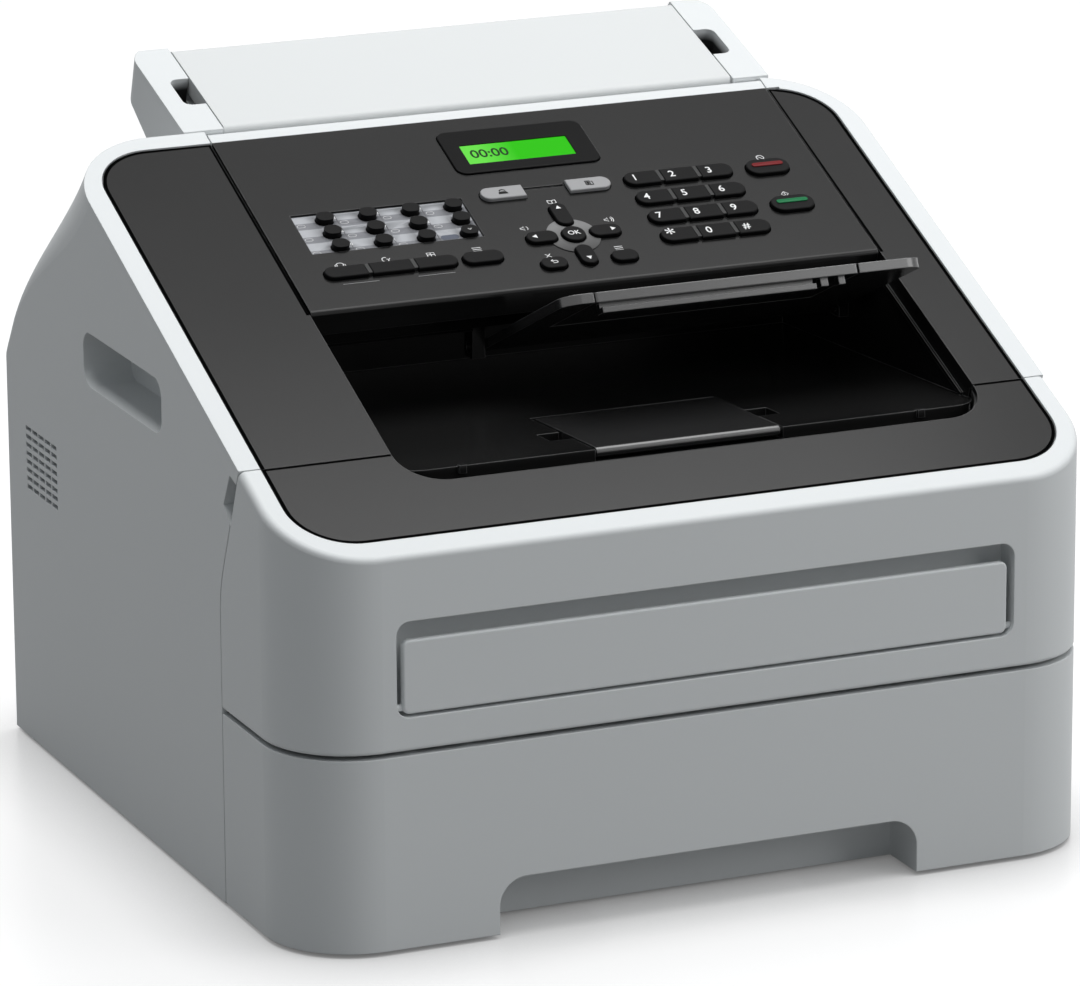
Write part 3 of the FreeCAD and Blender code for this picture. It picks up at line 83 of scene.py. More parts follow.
class Graph:
    """A node tree with short calls to add and link nodes."""

    def __init__(self, tree: Tree) -> None:
        """Hold the tree."""
        self.tree = tree

    def add(self, kind: str, **settings: object) -> Node:
        """Add a node.

        Args:
            kind: Blender's name of the node type.
            settings: properties to set on it.

        Returns:
            The new node.
        """
        made = self.tree.nodes.new(kind)
        for key, value in settings.items():
            setattr(made, key, value)
        return made

    def put(self, socket: Socket, value: object) -> None:
        """Set an input or link it.

        Args:
            socket: the input.
            value: number, vector, colour without alpha or source socket.
        """
        if isinstance(value, Socket):
            self.tree.links.new(value, socket)
        elif socket.type == "RGBA":
            socket.default_value = (*value[:3], 1.0)
        else:
            socket.default_value = value

    def feed(self, node: Node, **values: object) -> Node:
        """Set or link a node's inputs.

        Args:
            node: the node.
            values: socket names with _ for spaces, each with a value or a source socket.

        Returns:
            The same node.
        """
        for key, value in values.items():
            self.put(node.inputs[key.replace("_", " ")], value)
        return node

    def math(self, operation: str, first: object, second: object = 0.0) -> Socket:
        """Add a Math node.

        Args:
            operation: what it works out.
            first: value or socket.
            second: value or socket.

        Returns:
            The result's socket.
        """
        node = self.add("ShaderNodeMath", operation=operation)
        for socket, value in zip(node.inputs, (first, second)):
            self.put(socket, value)
        return node.outputs[0]

    def mix(self, share: object, first: object, second: object) -> Socket:
        """Mix two colours.

        Args:
            share: how much of the second, a value or a socket.
            first: colour or socket.
            second: colour or socket.

        Returns:
            The mixed colour's socket.
        """
        node = self.add("ShaderNodeMix", data_type="RGBA")
        for index, value in ((0, share), (6, first), (7, second)):
            self.put(node.inputs[index], value)
        return node.outputs[2]

    def blend(self, first: Socket, second: Socket, share: float) -> Socket:
        """A weighted sum: a share of the first value and the rest of the second."""
        rest = self.math("MULTIPLY", second, 1 - share)
        return self.math("ADD", self.math("MULTIPLY", first, share), rest)

    def ramp(self, value: Socket, low: float, high: float) -> Socket:
        """A share that runs from 0 at one value to 1 at another."""
        return self.feed(self.add("ShaderNodeMapRange"), Value=value, From_Min=low, From_Max=high).outputs[0]

    def within(self, share: Socket, value: Socket, low: float, high: float) -> Socket:
        """Keep a share only where a value lies between two limits.

        Args:
            share: the share.
            value: what is compared.
            low: the lower limit.
            high: the upper limit.

        Returns:
            The share inside the limits, 0 outside them.
        """
        for test, limit in (("GREATER_THAN", low), ("LESS_THAN", high)):
            share = self.math("MULTIPLY", share, self.math(test, value, limit))
        return share

    def noise(self, vector: Socket, **values: object) -> Socket:
        """A noise texture's value."""
        return self.feed(self.add("ShaderNodeTexNoise"), Vector=vector, **values).outputs[0]

    def spot(self) -> Socket:
        """Object coordinates."""
        return self.add("ShaderNodeTexCoord").outputs["Object"]

    def apart(self, vector: Socket) -> tuple[Socket, ...]:
        """A vector's X, Y and Z."""
        return tuple(self.feed(self.add("ShaderNodeSeparateXYZ"), Vector=vector).outputs)

    def placed(self, place: Matrix) -> Socket:
        """Object coordinates as seen from a frame.

        Args:
            place: the frame.

        Returns:
            The mapped vector's socket.
        """
        back = place.inverted()
        return self.feed(self.add("ShaderNodeMapping"), Vector=self.spot(), Location=tuple(back.translation),
                         Rotation=tuple(back.to_euler())).outputs[0]

    def seen(self) -> Socket:
        """Tell apart the rays that show a surface to the viewer.

        Returns:
            1 for rays of the camera, of reflections and through glass, 0 for others.
        """
        path = self.add("ShaderNodeLightPath").outputs
        glossy = self.math("MAXIMUM", path["Is Glossy Ray"], path["Is Transmission Ray"])
        return self.math("MAXIMUM", path["Is Camera Ray"], glossy)


def start_material(name: str) -> tuple[Material, Graph, Node]:
    """Begin a material.

    Args:
        name: its name.

    Returns:
        The material, its graph and its shader.
    """
    material = bpy.data.materials.new(name)
    material.use_nodes = True
    graph = Graph(material.node_tree)
    return material, graph, graph.tree.nodes["Principled BSDF"]


class Effects:
    """Node groups that several materials share, built once."""

    def __init__(self) -> None:
        """Build each group."""
        self.grain = self._grain()
        self.wear = self._wear()
        self.brushed = self._brushed()

    @staticmethod
    def _group(name: str, inputs: dict[str, str],
               outputs: tuple[str, ...]) -> tuple[Graph, dict[str, Socket]]:
        """Begin a group with named sockets.

        Args:
            name: the group's name.
            inputs: socket types by name.
            outputs: names of the numbers that it gives.

        Returns:
            Its graph and its inputs as sources.
        """
        tree = bpy.data.node_groups.new(name, "ShaderNodeTree")
        for flow, sockets in (("INPUT", inputs), ("OUTPUT", dict.fromkeys(outputs, "Float"))):
            for key, kind in sockets.items():
                tree.interface.new_socket(key, in_out=flow, socket_type="NodeSocket" + kind)
        graph = Graph(tree)
        source = graph.add("NodeGroupInput")
        return graph, {key: source.outputs[key] for key in inputs}

    def _grain(self) -> Tree:
        """Fine moulded grain with soft clouds.

        Returns:
            A group that gives a shade and a height.
        """
        pit_scale, fine_in_height, fine_in_shade = 0.8, 0.6, 0.35
        graph, given = self._group("moulded_grain", {"Vector": "Vector", "Grain": "Float", "Cloud": "Float"},
                                   ("Shade", "Height"))
        fine = graph.noise(given["Vector"], Scale=given["Grain"], Detail=2.0, Roughness=0.6)
        pits = graph.feed(graph.add("ShaderNodeTexVoronoi"), Vector=given["Vector"],
                          Scale=graph.math("MULTIPLY", given["Grain"], pit_scale)).outputs["Distance"]
        cloud = graph.noise(given["Vector"], Scale=given["Cloud"], Detail=3.0, Roughness=0.5)
        graph.feed(graph.add("NodeGroupOutput"), Shade=graph.blend(fine, cloud, fine_in_shade),
                   Height=graph.blend(fine, pits, fine_in_height))
        return graph.tree

    def _wear(self) -> Tree:
        """Rubbed edges and painted edge highlights, found by how far a rounded normal leaves the true one.

        Returns:
            A group that gives a mask.
        """
        patch_power = 1.5
        graph, given = self._group("edge_wear", {"Rounded": "Vector", "Patches": "Float", "Reach": "Float"},
                                   ("Mask",))
        along = graph.add("ShaderNodeVectorMath", operation="DOT_PRODUCT")
        true_normal = graph.add("ShaderNodeNewGeometry").outputs["Normal"]
        for socket, normal in zip(along.inputs, (given["Rounded"], true_normal)):
            graph.put(socket, normal)
        bend = graph.math("SUBTRACT", 1.0, along.outputs["Value"])
        patches = graph.noise(graph.spot(), Scale=given["Patches"], Detail=4.0)
        rub = graph.math("MULTIPLY", graph.math("MULTIPLY", bend, given["Reach"]),
                         graph.math("POWER", patches, patch_power))
        graph.feed(graph.add("NodeGroupOutput"), Mask=graph.math("MINIMUM", rub, 1.0))
        return graph.tree

    def _brushed(self) -> Tree:
        """Fine lines along x for rolled and brushed metal.

        Returns:
            A group that gives a shade.
        """
        along_lines = (0.02, 1.0, 1.0)
        graph, given = self._group("brushed_lines", {"Vector": "Vector", "Lines": "Float"}, ("Shade",))
        stretch = graph.feed(graph.add("ShaderNodeMapping"), Vector=given["Vector"], Scale=along_lines)
        lines = graph.noise(stretch.outputs[0], Scale=given["Lines"], Detail=4.0)
        graph.feed(graph.add("NodeGroupOutput"), Shade=lines)
        return graph.tree


# Finishes


@dataclass(frozen=True)
class Moulded:
    """A moulded plastic or rubber finish.

    Colours are linear, grain, clouds and patches are counts per metre, and depths are in metres.
    """

    name: str
    colour: Colour
    roughness: float
    spread: float = 0.06
    rough_spread: float = 0.08
    grain: float = 2600.0
    cloud: float = 9.0
    patches: float = 60.0
    depth: float = 0.00002
    bump: float = 0.25
    edge: float = 0.0006
    # The edge mask lightens edges: mild wear on light finishes, a strong painted highlight where it is set high on
    # dark ones.
    rub: float = 0.5
    rub_gain: float = 1.25
    specular: float = 0.5

    def tint(self, gain: float) -> Colour:
        """The colour made lighter or darker."""
        return tuple(min(1.0, part * gain) for part in self.colour)

    def base(self, graph: Graph, place: Socket, shade: Socket) -> Socket:
        """The colour before wear and painted edge highlights.

        Args:
            graph: the material's nodes.
            place: Object coordinates, not used here.
            shade: the grain's shade.

        Returns:
            The colour's socket.
        """
        return graph.mix(shade, self.tint(1 - self.spread), self.tint(1 + self.spread))

    def build(self, effects: Effects) -> Material:
        """Make the material.

        Args:
            effects: the shared node groups.

        Returns:
            The material.
        """
        material, graph, shader = start_material(self.name)
        place = graph.spot()
        grain = graph.feed(graph.add("ShaderNodeGroup", node_tree=effects.grain),
                           Vector=place, Grain=self.grain, Cloud=self.cloud)
        rounded = graph.feed(graph.add("ShaderNodeBevel", samples=6), Radius=self.edge).outputs[0]
        wear = graph.feed(graph.add("ShaderNodeGroup", node_tree=effects.wear),
                          Rounded=rounded, Patches=self.patches, Reach=self.rub)
        base = self.base(graph, place, grain.outputs["Shade"])
        # Edges turn lighter under the mask: wear, and on dark finishes a painted highlight.
        worn_and_highlit = graph.mix(wear.outputs["Mask"], base, self.tint(self.rub_gain))
        rough = graph.math("ADD", self.roughness - self.rough_spread / 2,
                           graph.math("MULTIPLY", grain.outputs["Shade"], self.rough_spread))
        relief = graph.feed(graph.add("ShaderNodeBump"), Strength=self.bump, Distance=self.depth,
                            Height=grain.outputs["Height"], Normal=rounded)
        graph.feed(shader, Base_Color=worn_and_highlit, Roughness=rough, Normal=relief.outputs[0],
                   Specular_IOR_Level=self.specular)
        return material


@dataclass(frozen=True)
class BoardFinish(Moulded):
    """Green boards on which whatever stands proud is black.

    The boards lie across x, so what is further out than their faces is a socket or a chip.
    """

    proud_colour: Colour = (0.012, 0.012, 0.012)
    proud_from: float = 151.7 * MM

    def base(self, graph: Graph, place: Socket, shade: Socket) -> Socket:
        """The board's green, or black further out."""
        proud = graph.math("GREATER_THAN", graph.math("ABSOLUTE", graph.apart(place)[0]), self.proud_from)
        return graph.mix(proud, super().base(graph, place, shade), self.proud_colour)


@dataclass(frozen=True)
class Outline:
    """The sloping top's frame, its front edge and the panel's sides in that frame."""

    place: Matrix
    front: float
    left: float
    right: float


@dataclass(frozen=True)
class TopPlastic(Moulded):
    """Plastic of the sloping top, with painted shade darkening the hollow under it."""

    outline: Outline | None = None
    hollow_colour: Colour = (0.008, 0.008, 0.008)
    hollow_from: float = 6.0 * MM

    def base(self, graph: Graph, place: Socket, shade: Socket) -> Socket:
        """The plastic's colour, with painted shade in the hollow."""
        painted_hollow_shade = graph.math("LESS_THAN", graph.apart(graph.placed(self.outline.place))[2], -self.hollow_from)
        return graph.mix(painted_hollow_shade, super().base(graph, place, shade), self.hollow_colour)


@dataclass(frozen=True)
class CoverPlastic(Moulded):
    """Light plastic of the front cover, with painted black shade round the mouth of the output cavity."""

    outline: Outline | None = None
    mouth_colour: Colour = (0.006, 0.006, 0.006)
    mouth_from: float = 30.0 * MM
    mouth_beyond: float = 8.0 * MM
    mouth_depth: float = 1.0 * MM

    def base(self, graph: Graph, place: Socket, shade: Socket) -> Socket:
        """The plastic's colour, or painted black shade under the trim round the mouth.

        Args:
            graph: the material's nodes.
            place: Object coordinates.
            shade: the grain's shade.

        Returns:
            The colour's socket.
        """
        line = self.outline
        x, v, n = graph.apart(graph.placed(line.place))
        # Painted shade: black deep under the trim, behind the front and across the panel's width.
        painted_mouth_shade = graph.math("MULTIPLY", graph.math("LESS_THAN", n, -self.mouth_depth),
                           graph.math("GREATER_THAN", v, line.front + self.mouth_from))
        painted_mouth_shade = graph.within(painted_mouth_shade, x, line.left - self.mouth_beyond, line.right + self.mouth_beyond)
        return graph.mix(painted_mouth_shade, super().base(graph, place, shade), self.mouth_colour)


@dataclass(frozen=True)
class NotchPlastic(Moulded):
    """Light plastic of the document tray, with painted shade running to black down its finger notches.

    The tray's top is the plane through (top_y, top_z) that climbs by rise towards the rear.
    """

    notch_colour: Colour = (0.008, 0.008, 0.008)
    top_y: float = 115.4 * MM
    top_z: float = 293.6 * MM
    rise: float = 0.327
    light_to: float = 1.5 * MM
    black_from: float = 6.0 * MM
    beyond: tuple[float, float] = (0.7 * MM, 7.5 * MM)

    def base(self, graph: Graph, place: Socket, shade: Socket) -> Socket:
        """The plastic's colour, with painted shade down the notches.

        Args:
            graph: the material's nodes.
            place: Object coordinates.
            shade: the grain's shade.

        Returns:
            The colour's socket.
        """
        spot = graph.apart(place)
        top = graph.math("ADD", graph.math("MULTIPLY", spot[1], self.rise),
                         self.top_z - self.rise * self.top_y)
        # Painted shade deepens with depth below the tray's top.
        deep = graph.ramp(graph.math("SUBTRACT", top, spot[2]), self.light_to, self.black_from)
        colour = super().base(graph, place, shade)
        for opening in frame["record"]["physics"]["openings"]:
            if opening["name"].endswith("flap_notch"):
                inside = deep
                for value, low, high, beyond in zip(spot, *opening["box_m"], self.beyond):
                    inside = graph.within(inside, value, low - beyond, high + beyond)
                colour = graph.mix(inside, colour, self.notch_colour)
        return colour


@dataclass(frozen=True)
class DiscFinish(Moulded):
    """Satin grey of the disc round the centre key, with painted shade darker towards the front."""

    place: Matrix | None = None
    far: float = 7.2 * MM
    near: float = -9.6 * MM
    near_colour: Colour = (0.022, 0.022, 0.022)

    def base(self, graph: Graph, place: Socket, shade: Socket) -> Socket:
        """The colour, running to the painted shade colour at the disc's front."""
        front = graph.ramp(graph.apart(graph.placed(self.place))[1], self.far, self.near)
        return graph.mix(front, super().base(graph, place, shade), self.near_colour)


@dataclass(frozen=True)
class Metal:
    """A rolled or brushed metal finish."""

    name: str
    colour: Colour
    roughness: float
    lines: float = 700.0
    darker: float = 0.8
    rough_spread: float = 0.2
    bump: float = 0.15
    depth: float = 0.00002

    def build(self, effects: Effects) -> Material:
        """Make the material.

        Args:
            effects: the shared node groups.

        Returns:
            The material.
        """
        material, graph, shader = start_material(self.name)
        shade = graph.feed(graph.add("ShaderNodeGroup", node_tree=effects.brushed),
                           Vector=graph.spot(), Lines=self.lines).outputs["Shade"]
        base = graph.mix(shade, tuple(part * self.darker for part in self.colour), self.colour)
        rough = graph.math("ADD", self.roughness - self.rough_spread / 2,
                           graph.math("MULTIPLY", shade, self.rough_spread))
        relief = graph.feed(graph.add("ShaderNodeBump"), Strength=self.bump, Distance=self.depth,
                            Height=shade)
        graph.feed(shader, Base_Color=base, Roughness=rough, Normal=relief.outputs[0], Metallic=1.0)
        return material


LIGHT = {"colour": (0.68, 0.70, 0.705), "roughness": 0.55, "spread": 0.015, "depth": 0.000012,
         "specular": 0.35}
# Charcoal sets the edge mask high: a painted highlight along its edges.
CHARCOAL = {"colour": (0.007, 0.007, 0.007), "roughness": 0.21, "spread": 0.04, "rub": 7.0, "rub_gain": 24.0,
            "specular": 0.18}
INK = {"roughness": 0.5, "spread": 0.03, "bump": 0.05, "edge": 0.00005, "specular": 0.1}
BAR = {"roughness": 0.25, "spread": 0.08, "bump": 0.04, "edge": 0.0003, "specular": 0.08}
LIGHT_PLASTIC = Moulded("light_grey_plastic", **LIGHT)
# A darker copy of the light plastic for the document support: painted shade that tones down its brightly lit top.
PAINTED_SHADE_FLAP_PLASTIC = Moulded("light_flap_plastic", **{**LIGHT, "colour": (0.63, 0.645, 0.645)})
TRAY_PLASTIC = NotchPlastic("light_tray_plastic", **LIGHT)
DARK_PLASTIC = Moulded("charcoal_plastic", **CHARCOAL)
BEZEL = Moulded("display_bezel", (0.003, 0.003, 0.0032), 0.26, spread=0.05, bump=0.08, rub_gain=1.8,
                specular=0.05)
# Polished charcoal and black keys set the edge mask high too: a painted highlight along their edges.
POLISHED = Moulded("polished_charcoal", (0.018, 0.018, 0.0182), 0.24, spread=0.05, bump=0.08, rub=7.0,
                   rub_gain=9.0, specular=0.9)
BLACK_KEY = Moulded("black_key_plastic", (0.003, 0.003, 0.0032), 0.42, spread=0.08, edge=0.0004, rub=5.0,
                    rub_gain=16.0, specular=0.06)
GREY_KEY = Moulded("grey_key_plastic", (0.28, 0.28, 0.285), 0.45, spread=0.03, edge=0.0004, specular=0.3)
BLACK_PLASTIC = Moulded("black_inner_plastic", (0.020, 0.020, 0.021), 0.5, rub_gain=1.8, specular=0.3)
RUBBER = Moulded("soft_rubber", (0.022, 0.022, 0.022), 0.75, spread=0.12, grain=1500.0, bump=0.4,
                 specular=0.3)
BOARD = BoardFinish("green_board", (0.035, 0.15, 0.06), 0.35, spread=0.12, cloud=120.0, bump=0.1, rub=0.0)
STEEL = Metal("zinc_sheet", (0.62, 0.63, 0.64), 0.42)
PLAIN_FINISHES = (
    LIGHT_PLASTIC, PAINTED_SHADE_FLAP_PLASTIC, TRAY_PLASTIC, DARK_PLASTIC, BEZEL, POLISHED, BLACK_KEY, GREY_KEY,
    BLACK_PLASTIC, RUBBER, BOARD, STEEL,
    Metal("gilt_contact", (0.78, 0.57, 0.26), 0.3),
    Moulded("rib_plastic", (0.03, 0.03, 0.03), 0.4, edge=0.0002, specular=0.15),
    Moulded("white_ink", (0.80, 0.80, 0.80), **INK),
    Moulded("grey_ink", (0.30, 0.30, 0.30), **INK),
    Moulded("slate_ink", (0.10, 0.11, 0.14), **INK),
    Moulded("black_ink", (0.006, 0.006, 0.006), **INK),
    Moulded("display_ink", (0.003, 0.03, 0.002), **INK),
    # Painted shade for the gaps round keys and along the seams.
    Moulded("dark_gap", (0.002, 0.002, 0.002), **{**INK, "specular": 0.0}),
    Moulded("red_key_bar", (0.15, 0.007, 0.009), **BAR),
    Moulded("green_key_bar", (0.003, 0.14, 0.045), **BAR),
)


@dataclass(frozen=True)
class Screen:
    """The lit face of the display, with a painted reflection brightening it towards one end."""

    name: str = "lit_display"
    dim: Colour = (0.018, 0.36, 0.002)
    bright: Colour = (0.10, 0.50, 0.05)
    glow: float = 0.34
    bright_to: float = 0.15
    dim_from: float = 0.5
    dots: float = 1800.0
    dot_share: float = 0.12
    roughness: float = 0.18
    specular: float = 0.05

    def build(self, start: float, end: float) -> Material:
        """Make the material.

        Args:
            start: x where the painted reflection is brightest.
            end: x where it is dimmest.

        Returns:
            The material.
        """
        material, graph, shader = start_material(self.name)
        place = graph.spot()
        run = end - start
        past_painted_reflection = graph.ramp(graph.apart(place)[0], start + self.bright_to * run, start + self.dim_from * run)
        dots = graph.math("MULTIPLY", graph.noise(place, Scale=self.dots), self.dot_share)
        face = graph.mix(graph.math("ADD", past_painted_reflection, dots), self.bright, self.dim)
        graph.feed(shader, Base_Color=face, Emission_Color=face, Emission_Strength=self.glow,
                   Roughness=self.roughness, Specular_IOR_Level=self.specular)
        return material


@dataclass(frozen=True)
class LabelPaper:
    """Silver label paper with a light and a darker band in each row; shares are of one cell."""

    name: str = "label_paper"
    light: Colour = (0.42, 0.43, 0.45)
    dark: Colour = (0.20, 0.205, 0.22)
    rule: Colour = (0.17, 0.17, 0.18)
    speck: Colour = (0.36, 0.36, 0.38)
    speck_scale: float = 900.0
    speck_share: float = 0.25
    band_share: float = 0.46
    rule_share: float = 0.025
    roughness: float = 0.5
    specular: float = 0.1

    def build(self, place: Matrix, left: float, pitch: Vector) -> Material:
        """Make the material.

        Args:
            place: the frame whose x and y the bands follow, with the first row at its origin.
            left: x of the first column's left edge in that frame.
            pitch: the size of one cell.

        Returns:
            The material.
        """
        material, graph, shader = start_material(self.name)
        mapped = graph.placed(place)
        x, y, _ = graph.apart(mapped)
        row = graph.math("FRACT", graph.math("DIVIDE", y, pitch.y))
        column = graph.math("FRACT", graph.math("DIVIDE", graph.math("SUBTRACT", x, left), pitch.x))
        bands = graph.mix(graph.math("LESS_THAN", row, self.band_share), self.light, self.dark)
        specks = graph.math("MULTIPLY", graph.noise(mapped, Scale=self.speck_scale), self.speck_share)
        ruled = graph.mix(graph.math("LESS_THAN", column, self.rule_share),
                          graph.mix(specks, bands, self.speck), self.rule)
        graph.feed(shader, Base_Color=ruled, Roughness=self.roughness, Specular_IOR_Level=self.specular)
        return material


# Modelling helpers


def deselect() -> None:
    """Leave object mode with nothing selected."""
    if bpy.context.object and bpy.context.object.mode != "OBJECT":
        bpy.ops.object.mode_set(mode="OBJECT")
    bpy.ops.object.select_all(action="DESELECT")


def pick(piece: Piece) -> None:
    """Make one piece selected and active.

    Args:
        piece: the piece.
    """
    deselect()
    piece.select_set(True)
    bpy.context.view_layer.objects.active = piece


def carry(piece: Piece, place: Matrix, body: str, finish: Material) -> None:
    """Settle a piece in its place, kept in its mesh, and let a body carry it.

    Args:
        piece: the finished piece.
        place: where its own frame goes.
        body: name of the body that it moves with.
        finish: its material.
    """
    pick(piece)
    piece.matrix_world = place @ piece.matrix_world
    bpy.ops.object.transform_apply(location=True, rotation=True, scale=True)
    piece.data.materials.clear()
    piece.data.materials.append(finish)
    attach(piece, body)
    log.info("%s rides on %s", piece.name, body)


def thicken(high: float, crown: float = 0.0) -> None:
    """Raise the flat shape in edit mode, face it outwards and leave edit mode.

    Args:
        high: how far up.
        crown: radius of the top edge.
    """
    bpy.ops.mesh.select_all(action="SELECT")
    bpy.ops.mesh.extrude_region_move(TRANSFORM_OT_translate={"value": (0, 0, high)})
    if crown:
        bpy.ops.mesh.bevel(offset=crown, segments=3, affect="EDGES")
    bpy.ops.mesh.select_all(action="SELECT")
    bpy.ops.mesh.normals_make_consistent(inside=False)
    bpy.ops.object.mode_set(mode="OBJECT")


def rounded_bar(name: str, wide: float, deep: float, high: float, corner: float,
                crown: float = 0.0) -> Piece:
    """A bar with round corners and a softened top, centred over the origin.

    Args:
        name: the piece's name.
        wide: size along x.
        deep: size along y.
        high: size along z.
        corner: radius of the four corners.
        crown: radius of the top edge.

    Returns:
        The bar.
    """
    deselect()
    bpy.ops.mesh.primitive_plane_add(size=1)
    bar = bpy.context.object
    bar.name = name
    bar.scale = (wide, deep, 1)
    bpy.ops.object.transform_apply(scale=True)
    bpy.ops.object.mode_set(mode="EDIT")
    bpy.ops.mesh.select_all(action="SELECT")
    bpy.ops.mesh.bevel(offset=corner, segments=6, affect="VERTICES")
    thicken(high, crown)
    bpy.ops.object.shade_smooth_by_angle(angle=SMOOTH_ANGLE)
    return bar


def punch(piece: Piece, holes: list[Hole], foot: float = -MM, high: float = 2 * MM) -> None:
    """Cut rounded holes out of a piece, and leave it picked.

    Args:
        piece: the piece to cut.
        holes: each one's x, y, size along x, size along y and corner radius.
        foot: height at which they start.
        high: how far up they go.
    """
    cutters = []
    for x, y, wide, deep, corner in holes:
        cutters.append(rounded_bar("cutter", wide, deep, high, corner))
        cutters[-1].location = (x, y, foot)
    bpy.context.view_layer.update()
    for cutter in cutters:
        pick(piece)
        hole = piece.modifiers.new("hole", "BOOLEAN")
        hole.operation = "DIFFERENCE"
        hole.solver = "EXACT"
        hole.object = cutter
        bpy.ops.object.modifier_apply(modifier=hole.name)
        bpy.data.objects.remove(cutter)
    pick(piece)


def lettering(name: str, words: str, height: float, weight: float = 0.0) -> Piece:
    """Flat printed digits or signs, centred on the origin.

    Args:
        name: the piece's name.
        words: what they say.
        height: height of a digit.
        weight: how much the strokes are thickened.

    Returns:
        The print as a mesh.
    """
    digit_share = 0.69
    deselect()
    bpy.ops.object.text_add()
    text = bpy.context.object
    text.name = name
    text.data.body = words
    text.data.align_x = "CENTER"
    text.data.align_y = "CENTER"
    text.data.size = height / digit_share
    text.data.offset = weight
    text.data.extrude = PRINT_DEPTH
    bpy.ops.object.convert(target="MESH")
    return bpy.context.object


def wires(name: str, lines: list[list[tuple[float, float, float]]], width: float) -> Piece:
    """Round wires through points.

    Args:
        name: the piece's name.
        lines: each wire's points.
        width: the wire's thickness.

    Returns:
        The wires as one mesh.
    """
    deselect()
    curve = bpy.data.curves.new(name, "CURVE")
    curve.dimensions = "3D"
    curve.bevel_depth = width / 2
    curve.bevel_resolution = 1
    curve.use_fill_caps = True
    for points in lines:
        spline = curve.splines.new("POLY")
        spline.points.add(len(points) - 1)
        for spot, place in zip(spline.points, points):
            spot.co = (*place, 1)
    bundle = bpy.data.objects.new(name, curve)
    bpy.context.scene.collection.objects.link(bundle)
    pick(bundle)
    bpy.ops.object.convert(target="MESH")
    return bpy.context.object


def strokes(name: str, lines: list[Line], width: float) -> Piece:
    """Printed lines of one width, drawn through points near the origin.

    Args:
        name: the piece's name.
        lines: each line's points.
        width: the stroke's width.

    Returns:
        The print as a mesh.
    """
    print_ = wires(name, [[(x, y, 0.0) for x, y in points] for points in lines], width)
    print_.scale.z = 2 * PRINT_DEPTH / width
    bpy.ops.object.transform_apply(scale=True)
    return print_


def arc(x: float, y: float, radius: float, start: float, end: float, steps: int = 12) -> Line:
    """Points on an arc.

    Args:
        x: centre across.
        y: centre up.
        radius: the arc's radius.
        start: first angle in degrees.
        end: last angle in degrees.
        steps: how many pieces.

    Returns:
        The points.
    """
    turns = [math.radians(start + (end - start) * i / steps) for i in range(steps + 1)]
    return [(x + radius * math.cos(turn), y + radius * math.sin(turn)) for turn in turns]


def framed(x0: float, x1: float, y0: float, y1: float) -> Line:
    """The closed outline of a rectangle."""
    return [(x0, y0), (x1, y0), (x1, y1), (x0, y1), (x0, y0)]


def span(points: list[Vector], axis: int) -> tuple[float, float]:
    """The least and the greatest of the points' values along an axis."""
    values = [point[axis] for point in points]
    return min(values), max(values)


# Control panel


@dataclass(frozen=True)
class Cap:
    """The top of a key in the panel's frame."""

    x: float
    v: float
    half_x: float
    half_v: float
    top: float


class PanelFrame:
    """The frame of the sloping panel: x across, v up from its front edge, n out of it."""

    def __init__(self) -> None:
        """Read the slope from the start key's travel and the place from the panel itself."""
        travel = next(joint for joint in frame["joints"] if joint["child"] == "start_key")
        inwards = Vector(travel["axis"]).normalized()
        turn = Matrix.Rotation(math.atan2(inwards.y, -inwards.z), 4, "X")
        corners = [turn.inverted() @ vertex.co for vertex in frame["nodes"]["control_panel"].data.vertices]
        self.matrix = turn @ Matrix.Translation((0, span(corners, 1)[0], span(corners, 2)[1]))

    def at(self, x: float, v: float, n: float = 0.0) -> Matrix:
        """A place on the panel, turned with it."""
        return self.matrix @ Matrix.Translation((x, v, n))

    def local(self, node: str) -> list[Vector]:
        """A node's points in this frame."""
        back = self.matrix.inverted()
        return [back @ vertex.co for vertex in frame["nodes"][node].data.vertices]

    def facing(self, node: str, low: float, high: float) -> list[Vector]:
        """Points of the faces of a node that look out of the panel.

        Args:
            node: the node's name.
            low: least height of those faces.
            high: greatest height of those faces.

        Returns:
            The points in this frame.
        """
        nearly_flat = 0.99
        points = self.local(node)
        out = self.matrix.to_3x3() @ Vector((0, 0, 1))
        found = []
        for face in frame["nodes"][node].data.polygons:
            corners = [points[i] for i in face.vertices]
            if face.normal.dot(out) > nearly_flat and all(low < corner.z < high for corner in corners):
                found += corners
        return found

    def cap(self, node: str) -> Cap:
        """Measure the part of a key that stands above the panel.

        Args:
            node: the key's name.

        Returns:
            Its middle, half sizes and height.
        """
        proud = [point for point in self.local(node) if point.z > 0]
        (x0, x1), (v0, v1) = span(proud, 0), span(proud, 1)
        return Cap((x0 + x1) / 2, (v0 + v1) / 2, (x1 - x0) / 2, (v1 - v0) / 2, span(proud, 2)[1])


class Side(Enum):
    """Which way an arrow on a key points."""

    UP = (0, 1)
    DOWN = (0, -1)
    LEFT = (-1, 0)
    RIGHT = (1, 0)


